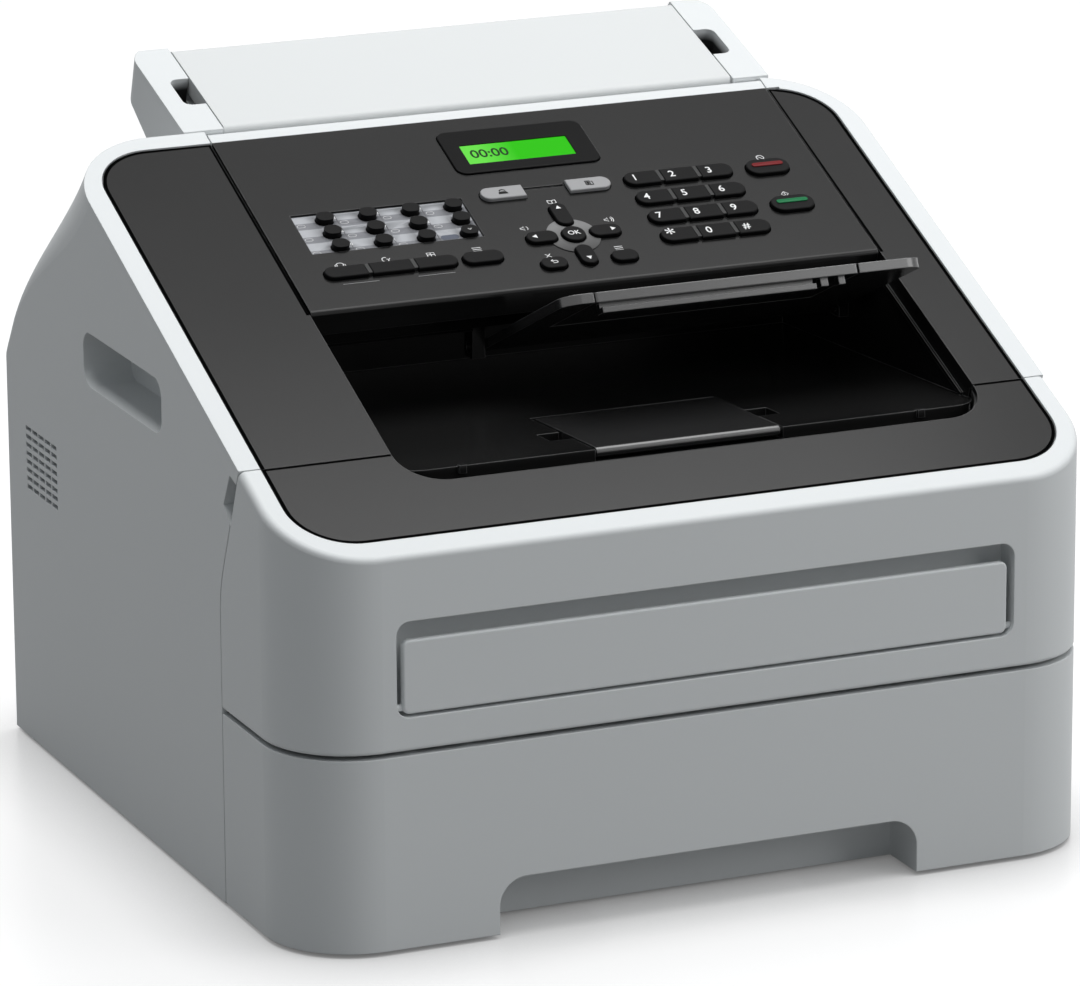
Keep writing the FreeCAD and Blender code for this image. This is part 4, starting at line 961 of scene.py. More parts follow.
# Signs are drawn in units of their own half size
SIGNS_ABOVE = {
    "stop_key": [arc(0, 0, 1, 0, 360, 20), [(-0.55, 0.55), (0.55, -0.55)]],
    "start_key": [[(0, 1), (1, 0), (0, -1), (-1, 0), (0, 1)], [(0, 0.55), (0, -0.55)]],
    "hook_key": [arc(0, -0.6, 1.2, 25, 155), framed(-1.4, -0.8, -0.7, -0.1), framed(0.8, 1.4, -0.7, -0.1)],
    "redial_key": [arc(0, 0, 0.9, 60, 350), [(0.35, 0.2), (0.9, -0.15), (1.3, 0.4)]],
    "resolution_key": [framed(-1, 1, -0.8, 0.8), [(-1, 0), (1, 0)], [(0, -0.8), (0, 0.8)]],
    "options_key": [[(-1.2, y), (1.2, y)] for y in (-0.7, 0, 0.7)],
    "menu_key": [[(-1.1, y), (1.1, y)] for y in (-0.7, 0, 0.7)],
    "clear_key": [[(-0.7, -0.7), (0.7, 0.7)], [(-0.7, 0.7), (0.7, -0.7)]],
    "up_key": [[(-1.1, 0.7), (0, 0.45), (1.1, 0.7)], [(-1.1, -0.6), (0, -0.85), (1.1, -0.6)],
               *[[(x, 0.7 - drop), (x, -0.6 - drop)] for x, drop in ((-1.1, 0), (0, 0.25), (1.1, 0))]],
}
SPEAKER = [(-1, 0.3), (-0.5, 0.3), (0, 0.8), (0, -0.8), (-0.5, -0.3), (-1, -0.3), (-1, 0.3)]
SIGNS_ON_MODE_KEYS = {
    "fax_mode_key": [[(-1.3, -0.75), (1.3, -0.75)], [(-1.2, -0.4), (1.2, -0.4)],
                     [(-1.0, -0.05), (1.0, -0.05)], arc(0, -0.1, 0.95, 30, 150)],
    "copy_mode_key": [framed(-0.9, 0.3, -0.8, 0.8), [(0.65, 0.5), (1.0, 0.5), (1.0, -0.9), (0.0, -0.9)],
                      *[[(-0.6, y), (0.05, y)] for y in (-0.4, 0.0, 0.4)]],
}
RETURN_SIGN = [[(-0.2, 0.9), (-0.9, 0.45), (-0.2, 0)], [(-0.9, 0.45), (0.4, 0.45)],
               arc(0.4, 0, 0.45, 90, -90, 8), [(0.4, -0.45), (-0.5, -0.45)]]


@dataclass
class KeyField:
    """Prints, bars and the disc among the panel's keys; sizes in metres."""

    panel: PanelFrame
    digit: float = 4.1 * MM
    digit_weight: float = 0.05 * MM
    digit_from_left: float = 4.6 * MM
    ok_share: float = 0.66
    star: float = 7.0 * MM
    gap: float = 0.5 * MM
    gap_clear: float = 0.04 * MM
    rib_gap: float = 0.12 * MM
    rib_low: float = 0.25 * MM
    rib_least: float = 0.3 * MM
    rib_corner: float = 0.1 * MM
    rib_share: float = 1.7
    rib_shift: float = 0.1
    sign: float = 1.7 * MM
    mark: float = 0.42 * MM
    mode_weight: float = 1.5
    rule_weight: float = 0.8
    label_rise: float = 3.0 * MM
    speaker_shift: tuple[float, float] = (4.8 * MM, 1.8 * MM)
    rule_drop: float = 3.3 * MM
    rule_ends: tuple[tuple[float, float], ...] = ((-3.6 * MM, 13 * MM), (-11 * MM, 6 * MM))
    arrow: float = 1.5 * MM
    disc_radius: float = 12.0 * MM
    disc_thick: float = 0.3 * MM
    disc_gap: float = 0.5 * MM
    disc_corner: float = 0.45 * MM
    disc_angle: float = 30.0
    bar: tuple[float, float, float] = (15.0 * MM, 2.6 * MM, 0.35 * MM)
    bar_corner: float = 1.274 * MM
    bar_crown: float = 0.2 * MM
    bar_up: float = 0.9 * MM

    def build(self, finishes: Finishes) -> None:
        """Make everything printed on or set into the keys, and the painted shade in the gaps round them.

        Args:
            finishes: materials by name.
        """
        self._digits(finishes["white_ink"])
        self._arrows(finishes["white_ink"])
        self._bars(finishes)
        self._labels(finishes)
        self._disc(finishes["satin_disc"])
        self._gaps(finishes["dark_gap"])
        self._ribs(finishes["rib_plastic"])

    def _on_key(self, piece: Piece, key: str, finish: Material, across: float = 0.0, up: float = 0.0) -> None:
        """Lay a print on a key's top, moved across and up from its middle."""
        cap = self.panel.cap(key)
        carry(piece, self.panel.at(cap.x + across, cap.v + up, cap.top + PRINT_DEPTH), key, finish)

    def _on_panel(self, piece: Piece, x: float, v: float, finish: Material) -> None:
        """Lay a print on the panel."""
        carry(piece, self.panel.at(x, v, PRINT_DEPTH), "control_panel", finish)

    def _sign(self, key: str, lines: list[Line], weight: float = 1.0) -> Piece:
        """Draw a sign in its real size, with strokes of some weight."""
        drawn = [[(x * self.sign, y * self.sign) for x, y in line] for line in lines]
        return strokes("sign_" + key, drawn, self.mark * weight)

    def _digits(self, ink: Material) -> None:
        """Print the dial's digits and signs and the letters of the OK key.

        Args:
            ink: the print's material.
        """
        signs = {"dial_%d_key" % i: str(i) for i in range(10)}
        signs.update({"dial_star_key": "*", "dial_hash_key": "#"})
        for key, sign in signs.items():
            high = self.star if sign == "*" else self.digit
            piece = lettering("print_" + key, sign, high, self.digit_weight)
            self._on_key(piece, key, ink, self.digit_from_left - self.panel.cap(key).half_x)
        piece = lettering("print_ok_key", "OK", self.digit * self.ok_share, self.digit_weight / 2)
        self._on_key(piece, "ok_key", ink)

    def _arrows(self, ink: Material) -> None:
        """Print arrow heads on the four way keys.

        Args:
            ink: the print's material.
        """
        from_end = 2.6 * self.arrow
        for side in Side:
            key = side.name.lower() + "_key"
            cap = self.panel.cap(key)
            dx, dy = side.value
            deselect()
            bpy.ops.mesh.primitive_circle_add(vertices=3, radius=self.arrow, fill_type="NGON")
            head = bpy.context.object
            head.name = "print_" + key
            bpy.ops.object.mode_set(mode="EDIT")
            thicken(PRINT_DEPTH)
            head.rotation_euler.z = math.atan2(dy, dx) - math.pi / 2
            bpy.ops.object.transform_apply(rotation=True)
            reach = max(cap.half_x, cap.half_v) - from_end
            self._on_key(head, key, ink, dx * reach, dy * reach)

    def _bars(self, finishes: Finishes) -> None:
        """Make the coloured bars of the stop and start keys.

        Args:
            finishes: materials by name.
        """
        for key, finish in (("stop_key", "red_key_bar"), ("start_key", "green_key_bar")):
            bar = rounded_bar("bar_" + key, *self.bar, self.bar_corner, self.bar_crown)
            self._on_key(bar, key, finishes[finish], up=self.bar_up)

    def _labels(self, finishes: Finishes) -> None:
        """Print plain signs beside the keys and on the mode keys, and rules under the function keys.

        Args:
            finishes: materials by name.
        """
        ink = finishes["white_ink"]
        for key, lines in SIGNS_ABOVE.items():
            cap = self.panel.cap(key)
            self._on_panel(self._sign(key, lines), cap.x, cap.v + cap.half_v + self.label_rise, ink)
        out, up = self.speaker_shift
        for key, waves, way in (("left_key", 1, -1), ("right_key", 2, 1)):
            cap = self.panel.cap(key)
            lines = [SPEAKER, *[arc(0, 0, 0.5 + 0.5 * i, -45, 45, 6) for i in range(1, waves + 1)]]
            above = cap.v + cap.half_v + self.label_rise + up
            self._on_panel(self._sign(key, lines), cap.x + way * out, above, ink)
        for key, lines in SIGNS_ON_MODE_KEYS.items():
            piece = self._sign(key, lines, self.mode_weight)
            self._on_key(piece, key, finishes["black_ink"])
        self._on_key(self._sign("clear_key_return", RETURN_SIGN), "clear_key", ink)
        first, last = self.panel.cap("hook_key"), self.panel.cap("resolution_key")
        under = first.v - first.half_v - self.rule_drop
        for i, (cap, (start, end)) in enumerate(zip((first, last), self.rule_ends), 1):
            line = [(cap.x + start, 0), (cap.x + end, 0)]
            rule = strokes("rule_%d" % i, [line], self.mark * self.rule_weight)
            self._on_panel(rule, 0, under, finishes["grey_ink"])

    def _gaps(self, ink: Material) -> None:
        """Draw painted shade in the gap round each key, along the outline of its cap.

        Args:
            ink: the painted shade's material.
        """
        rings = []
        for key in (node for node in frame["nodes"] if node.endswith("_key")):
            proud = [point.xy for point in self.panel.local(key) if point.z > 0]
            outline = [proud[i] for i in convex_hull_2d(proud)]
            middle = sum(outline, Vector((0, 0))) / len(outline)
            ring = []
            for before, spot, after in zip(outline[-1:] + outline[:-1], outline, outline[1:] + outline[:1]):
                along = ((spot - before).normalized() + (after - spot).normalized()).normalized()
                out = Vector((along.y, -along.x))
                out = out if out.dot(spot - middle) > 0 else -out
                ring.append(tuple(spot + out * (self.gap / 2 + self.gap_clear)))
            rings.append(ring + ring[:1])
        self._on_panel(strokes("key_gaps", rings, self.gap), 0, 0, ink)

    def _ribs(self, finish: Material) -> None:
        """Make low ribs between neighbouring keys of a row.

        Args:
            finish: their material.
        """
        rows = [["hook_key", "redial_key", "resolution_key"],
                *[["dial_%d_key" % (3 * i + j) for j in (1, 2, 3)] for i in range(3)],
                ["dial_star_key", "dial_0_key", "dial_hash_key"]]
        for left, right in [pair for row in rows for pair in zip(row, row[1:])]:
            first, last = self.panel.cap(left), self.panel.cap(right)
            start, end = first.x + first.half_x + self.rib_gap, last.x - last.half_x - self.rib_gap
            if end - start < self.rib_least:
                log.info("no room for a rib between %s and %s", left, right)
                continue
            rib = rounded_bar("rib_after_" + left, end - start, self.rib_share * first.half_v,
                              first.top - self.rib_low, self.rib_corner)
            place = self.panel.at((start + end) / 2, first.v + self.rib_shift * first.half_v)
            carry(rib, place, "control_panel", finish)

    def _disc(self, finish: Material) -> None:
        """Make the shallow disc round the OK key, cut out for the keys over it.

        Args:
            finish: its material.
        """
        ok = self.panel.cap("ok_key")
        deselect()
        bpy.ops.mesh.primitive_cylinder_add(vertices=96, radius=self.disc_radius, depth=self.disc_thick,
                                            location=(0, 0, self.disc_thick / 2))
        disc = bpy.context.object
        disc.name = "key_disc"
        holes = []
        for key in ("ok_key", "up_key", "down_key", "left_key", "right_key"):
            cap = self.panel.cap(key)
            holes.append((cap.x - ok.x, cap.v - ok.v, 2 * (cap.half_x + self.disc_gap),
                          2 * (cap.half_v + self.disc_gap), min(cap.half_x, cap.half_v) + self.disc_corner))
        punch(disc, holes)
        bpy.ops.object.shade_smooth_by_angle(angle=math.radians(self.disc_angle))
        self._on_panel(disc, ok.x, ok.v, finish)


@dataclass
class SeamLines:
    """Painted shade lines along the seams of the sloping top; sizes in metres."""

    panel: PanelFrame
    wide: float = 1.5 * MM
    fine: float = 0.8 * MM
    corner: float = 26.4 * MM
    at_edge: float = 0.01 * MM

    def build(self, ink: Material) -> None:
        """Draw the painted shade lines on the trim and on the top cover.

        Args:
            ink: the painted shade's material.
        """
        trim = self.panel.facing("front_cover_trim", -MM, 0)
        top = self.panel.facing("top_cover", -MM, 0)
        panel_left, panel_right = span(self.panel.local("control_panel"), 0)
        height = span(top, 2)[1] + PRINT_DEPTH
        edge = span(trim, 0)[1]
        (front, split), (start, rear) = span(trim, 1), span(top, 1)
        turn = rear - max(p.y for p in top if p.x > edge - self.at_edge)
        left = max(p.x for p in top if p.x < panel_left and p.y > MM)
        right = min(p.x for p in top if p.x > panel_right and p.y > MM)
        half, thin = self.wide / 2, self.fine / 2
        side, nose, bend = edge - half, self.corner - half, front + self.corner
        outer = [(-side, split), *arc(self.corner - edge, bend, nose, 180, 270),
                 *arc(edge - self.corner, bend, nose, 270, 360), (side, split)]
        splits, tops = [], []
        for way, inner in ((-1, left), (1, right)):
            splits.append([(way * side, split - thin), (inner + way * thin, split - thin)])
            seam = inner + way * half
            turned = [(way * x, v) for x, v in arc(edge - turn, rear - turn, turn - half, 0, 90)]
            tops.append([(way * side, start), *[spot for spot in turned if way * (spot[0] - seam) > 0],
                         (seam, rear - half), (seam, 0.0)])
        for name, lines, wide, body in (("seam_front", [outer], self.wide, "front_cover"),
                                        ("seam_split", splits, self.fine, "front_cover"),
                                        ("seam_top", tops, self.wide, "chassis")):
            carry(strokes(name, lines, wide), self.panel.at(0, 0, height), body, ink)


@dataclass
class LabelSheet:
    """The silver label sheet in the sunk bed round the one-touch keys; sizes in metres."""

    panel: PanelFrame
    columns: int = 4
    rows: int = 3
    key_wide: float = 7.8 * MM
    key_deep: float = 6.2 * MM
    bed_depths: tuple[float, float] = (-1.6 * MM, -0.9 * MM)
    margin: float = 0.15 * MM
    corner: float = 0.6 * MM
    thick: float = 0.12 * MM
    lift: float = 0.02 * MM
    hole_gap: float = 0.3 * MM
    bands_left: float = 0.2 * MM
    number: float = 1.7 * MM
    number_place: tuple[float, float] = (-14.6 * MM, 1.7 * MM)
    pill: tuple[float, float] = (3.6 * MM, 1.9 * MM)
    pill_place: tuple[float, float] = (-11.4 * MM, -2.2 * MM)
    pill_line: float = 0.22 * MM
    shift: tuple[float, float] = (8.4 * MM, 3.2 * MM)
    shift_corner: float = 1.536 * MM
    shift_low: float = 0.6 * MM
    shift_gap: float = 1.0 * MM
    arrow: tuple[float, float] = (0.8 * MM, 0.5 * MM)
    arrow_line: float = 0.4 * MM

    def build(self, finishes: Finishes) -> None:
        """Make the sheet with a hole for each key, and its print.

        Args:
            finishes: materials by name.
        """
        bed = self.panel.facing("control_panel", *self.bed_depths)
        floor = span(bed, 2)[0]
        x0, x1 = span(bed, 0)
        v0, v1 = span(bed, 1)
        caps = self.panel.cap("one_touch_keys")
        pitch = Vector(((2 * caps.half_x - self.key_wide) / (self.columns - 1),
                        (2 * caps.half_v - self.key_deep) / (self.rows - 1)))
        first = Vector((caps.x - caps.half_x + self.key_wide / 2, caps.v - caps.half_v + self.key_deep / 2))
        spots = [first + Vector((i * pitch.x, j * pitch.y))
                 for j in reversed(range(self.rows)) for i in range(self.columns)]
        sheet = rounded_bar("label_sheet", x1 - x0 - 2 * self.margin, v1 - v0 - 2 * self.margin, self.thick,
                            self.corner)
        middle = Vector(((x0 + x1) / 2, (v0 + v1) / 2))
        hole = (self.key_wide + 2 * self.hole_gap, self.key_deep + 2 * self.hole_gap, self.key_deep / 2)
        punch(sheet, [(*(spot - middle), *hole) for spot in spots])
        bands = self.panel.at(0, first.y - pitch.y / 2)
        paper = LabelPaper().build(bands, x0 + self.margin - self.bands_left, pitch)
        carry(sheet, self.panel.at(*middle, floor + self.lift), "control_panel", paper)
        height = floor + self.thick + self.lift
        self._numbers(spots, height + PRINT_DEPTH, finishes["white_ink"])
        self._shift(spots[-1], height, finishes)

    def _numbers(self, spots: list[Vector], height: float, ink: Material) -> None:
        """Print small numbers and pill outlines in the cells, as one piece.

        Args:
            spots: the keys' middles.
            height: height of the print.
            ink: its material.
        """
        prints = []
        wide, deep = self.pill
        side = (wide - deep) / 2
        pill = arc(-side, 0, deep / 2, 90, 270, 6) + arc(side, 0, deep / 2, -90, 90, 6)
        for i, spot in enumerate(spots[:-1], 1):
            for piece, (across, up) in (
                    (lettering("label_number", str(i), self.number), self.number_place),
                    (strokes("label_pill", [pill + pill[:1]], self.pill_line), self.pill_place)):
                piece.location = (spot.x + across, spot.y + up, 0)
                prints.append(piece)
        deselect()
        for piece in prints:
            piece.select_set(True)
        bpy.context.view_layer.objects.active = prints[0]
        bpy.ops.object.join()
        print_ = bpy.context.object
        print_.name = "label_print"
        pick(print_)
        bpy.ops.object.transform_apply(location=True, rotation=True, scale=True)
        carry(print_, self.panel.at(0, 0, height), "control_panel", ink)

    def _shift(self, spot: Vector, height: float, finishes: Finishes) -> None:
        """Make the dark pill beside the last key and the arrow on that key.

        Args:
            spot: the key's middle.
            height: height of the sheet's face.
            finishes: materials by name.
        """
        wide, deep = self.shift
        pill = rounded_bar("shift_pill", wide, deep, PRINT_DEPTH, self.shift_corner)
        across = spot.x - self.key_wide / 2 - wide / 2 - self.shift_gap
        place = self.panel.at(across, spot.y - self.shift_low, height)
        carry(pill, place, "control_panel", finishes["slate_ink"])
        out, up = self.arrow
        arrow = strokes("print_shift_key", [[(-out, up), (0, -up), (out, up)]], self.arrow_line)
        place = self.panel.at(spot.x, spot.y, self.panel.cap("one_touch_keys").top + PRINT_DEPTH)
        carry(arrow, place, "one_touch_keys", finishes["white_ink"])


@dataclass
class Display:
    """The lit screen in the display's window; sizes in metres."""

    panel: PanelFrame
    inset: float = 0.15 * MM
    sunk: float = 0.2 * MM
    thick: float = 0.3 * MM
    corner: float = 0.5 * MM
    digit: float = 5.6 * MM
    digit_weight: float = 0.1 * MM
    digits_middle: float = 12.0 * MM

    def build(self, finishes: Finishes) -> None:
        """Make the screen and plain digits on it.

        Args:
            finishes: materials by name.
        """
        rim = span(self.panel.local("display_board"), 2)[1]
        window = self.panel.facing("display_board", 0, rim - self.sunk)
        floor = window[0].z
        (x0, x1), (v0, v1) = span(window, 0), span(window, 1)
        up = (v0 + v1) / 2
        screen = rounded_bar("display_screen", x1 - x0 - 2 * self.inset, v1 - v0 - 2 * self.inset,
                             self.thick, self.corner)
        lit = Screen().build(x0, x1)
        carry(screen, self.panel.at((x0 + x1) / 2, up, floor), "control_panel", lit)
        digits = lettering("display_digits", "00:00", self.digit, self.digit_weight)
        place = self.panel.at(x0 + self.digits_middle, up, floor + self.thick + PRINT_DEPTH)
        carry(digits, place, "control_panel", finishes["display_ink"])


# Rear sockets, screws and power switch


@dataclass
class RearSockets:
    """Pins, contacts and screws at the rear; places and sizes in metres."""

    pin: tuple[float, float, float] = (2.0 * MM, 4.0 * MM, 12.0 * MM)
    pin_foot: float = 155.4 * MM
    pins: tuple[tuple[float, float], ...] = ((-172.3 * MM, 33.0 * MM), (-165.3 * MM, 37.0 * MM),
                                             (-158.3 * MM, 33.0 * MM))
    rounding: tuple[float, float] = (0.5 * MM, 0.4 * MM)
    line_lows: tuple[float, ...] = (103.2 * MM, 125.2 * MM)
    line_left: float = 155.4 * MM
    line_pitch: float = 2.0 * MM
    line_count: int = 4
    line_course: tuple[tuple[float, float], ...] = ((157.6 * MM, 5.6 * MM), (167.0 * MM, 1.6 * MM),
                                                    (170.0 * MM, 1.0 * MM))
    contact: float = 0.5 * MM
    tongue: tuple[float, float, float] = (5.6 * MM, 3.2 * MM, 11.0 * MM)
    tongue_place: tuple[float, float, float] = (157.65 * MM, 157.4 * MM, 65.5 * MM)
    screw_radius: float = 3.2 * MM
    screw_high: float = 1.6 * MM
    screw_round: float = 0.7 * MM
    screw_slot: tuple[float, float] = (3.4 * MM, 0.8 * MM)
    slot_deep: float = 0.9 * MM
    slot_corner: float = 0.2 * MM
    screws: tuple[tuple[float, float], ...] = ((-109.8 * MM, 15.0 * MM), (143.0 * MM, 15.0 * MM),
                                               (-109.8 * MM, 150.0 * MM), (143.0 * MM, 150.0 * MM))
    first_turn: float = 0.4
    next_turn: float = 0.7

    def build(self, finishes: Finishes) -> None:
        """Make the pins, contacts, tongue and screws.

        Args:
            finishes: materials by name.
        """
        rearwards = Matrix.Rotation(math.radians(-90), 4, "X")
        for i, (x, z) in enumerate(self.pins, 1):
            pin = rounded_bar("inlet_pin_%d" % i, *self.pin, *self.rounding)
            place = Matrix.Translation((x, self.pin_foot, z)) @ rearwards
            carry(pin, place, "chassis", finishes["zinc_sheet"])
        columns = [self.line_left + j * self.line_pitch for j in range(self.line_count)]
        for i, low in enumerate(self.line_lows, 1):
            springs = [[(x, y, low + up) for y, up in self.line_course] for x in columns]
            contacts = wires("line_contacts_%d" % i, springs, self.contact)
            carry(contacts, Matrix.Identity(4), "chassis", finishes["gilt_contact"])
        tongue = rounded_bar("data_tongue", *self.tongue, *self.rounding)
        place = Matrix.Translation(self.tongue_place) @ rearwards
        carry(tongue, place, "chassis", finishes["grey_key_plastic"])
        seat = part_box("rear_cover")[1].y
        for i, (x, z) in enumerate(self.screws):
            turned = rearwards @ Matrix.Rotation(self.first_turn + self.next_turn * i, 4, "Z")
            head = self._head("rear_screw_%d" % (i + 1))
            place = Matrix.Translation((x, seat, z)) @ turned
            carry(head, place, "chassis", finishes["zinc_sheet"])

    def _head(self, name: str) -> Piece:
        """Make a pan head with a cross recess, standing on the origin.

        Args:
            name: the piece's name.

        Returns:
            The head.
        """
        deselect()
        bpy.ops.mesh.primitive_cylinder_add(vertices=32, radius=self.screw_radius, depth=self.screw_high,
                                            location=(0, 0, self.screw_high / 2))
        head = bpy.context.object
        head.name = name
        bpy.ops.object.transform_apply(location=True)
        round_over = head.modifiers.new("round_over", "BEVEL")
        round_over.width = self.screw_round
        round_over.segments = 3
        bpy.ops.object.modifier_apply(modifier=round_over.name)
        cross = (self.screw_slot, self.screw_slot[::-1])
        punch(head, [(0, 0, *arm, self.slot_corner) for arm in cross], self.screw_high - self.slot_deep,
              self.screw_high)
        bpy.ops.object.shade_smooth_by_angle(angle=SMOOTH_ANGLE)
        return head


@dataclass
class SwitchMarks:
    """On and off marks on the rocker's outer face; sizes in metres."""

    size: float = 3.2 * MM
    width: float = 0.5 * MM
    near_end: float = 4.6 * MM
    half_length: float = 10.0 * MM

    def build(self, ink: Material) -> None:
        """Print a bar on the front half and a ring on the rear half.

        Args:
            ink: the print's material.
        """
        points = [vertex.co for vertex in frame["nodes"]["power_switch"].data.vertices]
        front = max(points, key=lambda p: p.x)
        rear = max((p for p in points if p.y > front.y + self.half_length), key=lambda p: p.x)
        up = Vector((0, 0, 1))
        along = Vector((rear.x - front.x, rear.y - front.y, 0)).normalized()
        out = along.cross(up)
        turn = Matrix((along, up, out)).transposed().to_4x4()
        low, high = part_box("power_switch")
        r = self.size / 2
        marks = (("switch_on_mark", [[(0, -r), (0, r)]], front + along * self.near_end),
                 ("switch_off_mark", [arc(0, 0, r, 0, 360, 20)], rear - along * self.near_end))
        for name, lines, spot in marks:
            seat = Vector((spot.x, spot.y, (low.z + high.z) / 2)) + out * PRINT_DEPTH
            mark = strokes(name, lines, self.width)
            carry(mark, Matrix.Translation(seat) @ turn, "power_switch", ink)


# Finishes of the carried-over nodes


@dataclass(frozen=True)
class Dressing:
    """Which finish each record slot shows, and nodes with one of their own."""

    by_slot: dict[Slot, str]
    own: dict[str, str]

    def apply(self, finishes: Finishes) -> None:
        """Give every node the finish of its slot.

        Args:
            finishes: materials by name.
        """
        for sub in frame["record"]["subparts"]:
            node = frame["nodes"][sub["node"]]
            finish = self.own.get(sub["node"], self.by_slot[Slot(sub["material_slot"])])
            node.data.materials.clear()
            node.data.materials.append(finishes[finish])
            log.info("%s is %s", sub["node"], finish)


# Studio


@dataclass(frozen=True)
class Lamp:
    """A soft lamp: its name, watts, two sides and place, hung level or turned to the machine."""

    name: str
    power: float
    sides: tuple[float, float]
    place: tuple[float, float, float]
    turned: bool


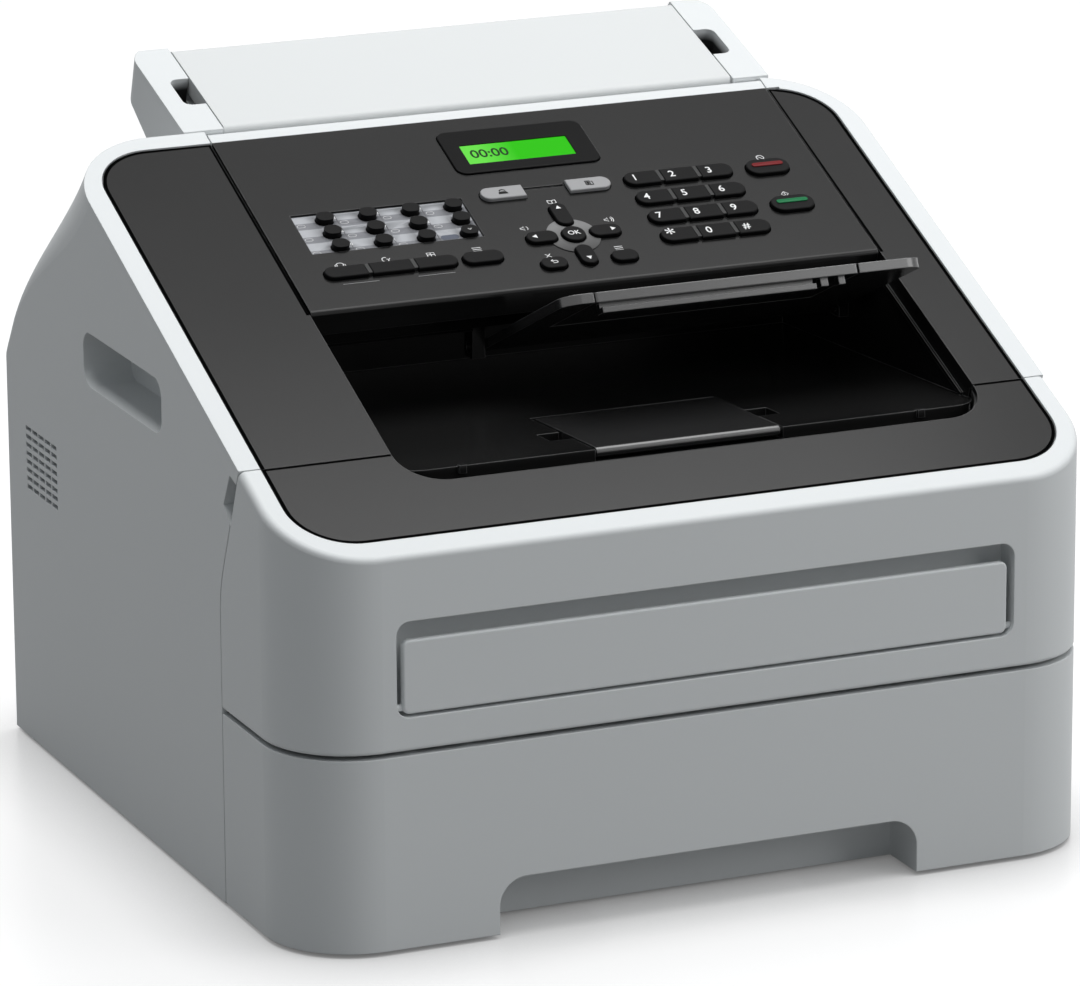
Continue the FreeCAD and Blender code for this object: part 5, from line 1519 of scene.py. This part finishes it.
@dataclass(frozen=True)
class Studio:
    """Floor, lights, white surround and camera; metres and degrees, lens and film in millimetres."""

    camera_place: tuple[float, float, float] = (-1.0843, -2.5178, 0.9094)
    azimuth: float = -23.32
    elevation: float = 15.81
    roll: float = -0.36
    lens: float = 218.03
    film: float = 36.0
    sight: float = 100.0
    floor_size: float = 30.0
    floor_colour: Colour = (0.34, 0.34, 0.34)
    floor_spread: float = 1.01
    floor_clouds: float = 3.0
    floor_roughness: float = 0.3
    floor_specular: float = 0.3
    floor_bounce: Colour = (0.18, 0.18, 0.18)
    floor_seen: float = 0.10
    # The floor's glow outside a painted contact shadow, and that shadow's reach.
    floor_clear: float = 0.54
    contact: float = 0.05
    surround: float = 0.235
    surround_tint: Colour = (0.94, 1.0, 1.05)
    lamp_aim: tuple[float, float, float] = (0.0, 0.0, 0.2)
    lamps: tuple[Lamp, ...] = (Lamp("soft_box", 40.0, (1.9, 1.7), (0.20, -0.02, 2.1), False),
                               Lamp("side_fill", 14.0, (1.2, 1.2), (1.5, -1.3, 1.1), True))

    def build(self) -> None:
        """Set up everything that isn't the object."""
        bpy.context.scene.view_settings.view_transform = "Standard"
        self._floor()
        self._surround()
        for lamp in self.lamps:
            self._hang(lamp)
        self._camera()

    def _floor(self) -> None:
        """A pale floor that keeps the cast shadow, adds a painted contact shadow to its glow and throws little
        light back.
        """
        deselect()
        bpy.ops.mesh.primitive_plane_add(size=self.floor_size)
        floor = bpy.context.object
        floor.name = "floor"
        material, graph, shader = start_material("pale_floor")
        tone = graph.mix(graph.noise(graph.spot(), Scale=self.floor_clouds), self.floor_colour,
                         tuple(part * self.floor_spread for part in self.floor_colour))
        seen = graph.seen()
        # The glow fades where ambient occlusion finds the machine near: a painted contact shadow.
        painted_shadow_ao = graph.feed(graph.add("ShaderNodeAmbientOcclusion", samples=8), Distance=self.contact)
        clear = graph.math("MULTIPLY", painted_shadow_ao.outputs["AO"], self.floor_clear)
        glow = graph.math("MULTIPLY", seen, graph.math("ADD", self.floor_seen, clear))
        graph.feed(shader, Base_Color=graph.mix(seen, self.floor_bounce, tone),
                   Roughness=self.floor_roughness, Specular_IOR_Level=self.floor_specular,
                   Emission_Color=WHITE, Emission_Strength=glow)
        floor.data.materials.append(material)

    def _surround(self) -> None:
        """White where the camera and reflections look, a plain level of light elsewhere."""
        world = bpy.data.worlds.new("surround")
        world.use_nodes = True
        bpy.context.scene.world = world
        graph = Graph(world.node_tree)
        seen = graph.seen()
        level = graph.math("ADD", self.surround, graph.math("MULTIPLY", seen, 1.0 - self.surround))
        graph.feed(graph.tree.nodes["Background"], Color=graph.mix(seen, self.surround_tint, WHITE),
                   Strength=level)

    def _hang(self, lamp: Lamp) -> None:
        """Hang one lamp, level or turned to the machine.

        Args:
            lamp: the lamp.
        """
        light = bpy.data.lights.new(lamp.name, "AREA")
        light.energy = lamp.power
        light.shape = "RECTANGLE"
        light.size, light.size_y = lamp.sides
        hung = bpy.data.objects.new(lamp.name, light)
        bpy.context.scene.collection.objects.link(hung)
        hung.location = lamp.place
        if lamp.turned:
            hung.rotation_euler = (Vector(self.lamp_aim) - hung.location).to_track_quat("-Z", "Y").to_euler()

    def _camera(self) -> None:
        """The camera at the photographed view."""
        camera = bpy.data.cameras.new("camera")
        camera.lens = self.lens
        camera.sensor_width = self.film
        camera.clip_end = self.sight
        seat = bpy.data.objects.new("camera", camera)
        bpy.context.scene.collection.objects.link(seat)
        turn, rise = math.radians(self.azimuth), math.radians(self.elevation)
        back = Vector((math.sin(turn) * math.cos(rise), -math.cos(turn) * math.cos(rise), math.sin(rise)))
        level = Vector((math.cos(turn), math.sin(turn), 0))
        rolled = Matrix.Rotation(math.radians(self.roll), 3, back)
        turned = Matrix((rolled @ level, rolled @ back.cross(level), back)).transposed().to_4x4()
        seat.matrix_world = Matrix.Translation(self.camera_place) @ turned
        bpy.context.scene.camera = seat


def make_finishes(panel: PanelFrame) -> Finishes:
    """Build every finish once.

    Args:
        panel: the sloping panel's frame.

    Returns:
        The materials by name.
    """
    effects = Effects()
    front = span(panel.local("front_cover_trim"), 1)[0]
    outline = Outline(panel.matrix, front, *span(panel.local("control_panel"), 0))
    ok = panel.cap("ok_key")
    placed = (TopPlastic("charcoal_top_plastic", outline=outline, **CHARCOAL),
              CoverPlastic("light_cover_plastic", outline=outline, **LIGHT),
              DiscFinish("satin_disc", (0.16, 0.16, 0.16), 0.4, specular=0.3, place=panel.at(ok.x, ok.v)))
    return {finish.name: finish.build(effects) for finish in (*PLAIN_FINISHES, *placed)}


def main() -> None:
    """Dress the machine and set up the studio."""
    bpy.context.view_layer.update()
    panel = PanelFrame()
    finishes = make_finishes(panel)
    top = "charcoal_top_plastic"
    by_slot = {Slot.LIGHT: LIGHT_PLASTIC, Slot.DARK: DARK_PLASTIC, Slot.GLOSS: POLISHED,
               Slot.BLACK_KEY: BLACK_KEY, Slot.GREY_KEY: GREY_KEY, Slot.RUBBER: RUBBER, Slot.STEEL: STEEL,
               Slot.BOARD: BOARD, Slot.BLACK: BLACK_PLASTIC}
    own = {"top_cover": top, "control_panel": top, "front_cover_trim": top,
           "front_cover": "light_cover_plastic", "display_board": BEZEL.name,
           "output_tray_flap": POLISHED.name, "document_support": PAINTED_SHADE_FLAP_PLASTIC.name,
           "document_tray": TRAY_PLASTIC.name}
    Dressing({slot: finish.name for slot, finish in by_slot.items()}, own).apply(finishes)
    KeyField(panel).build(finishes)
    SeamLines(panel).build(finishes["dark_gap"])
    LabelSheet(panel).build(finishes)
    Display(panel).build(finishes)
    RearSockets().build(finishes)
    SwitchMarks().build(finishes["white_ink"])
    Studio().build()


if __name__ == "__main__":
    main()
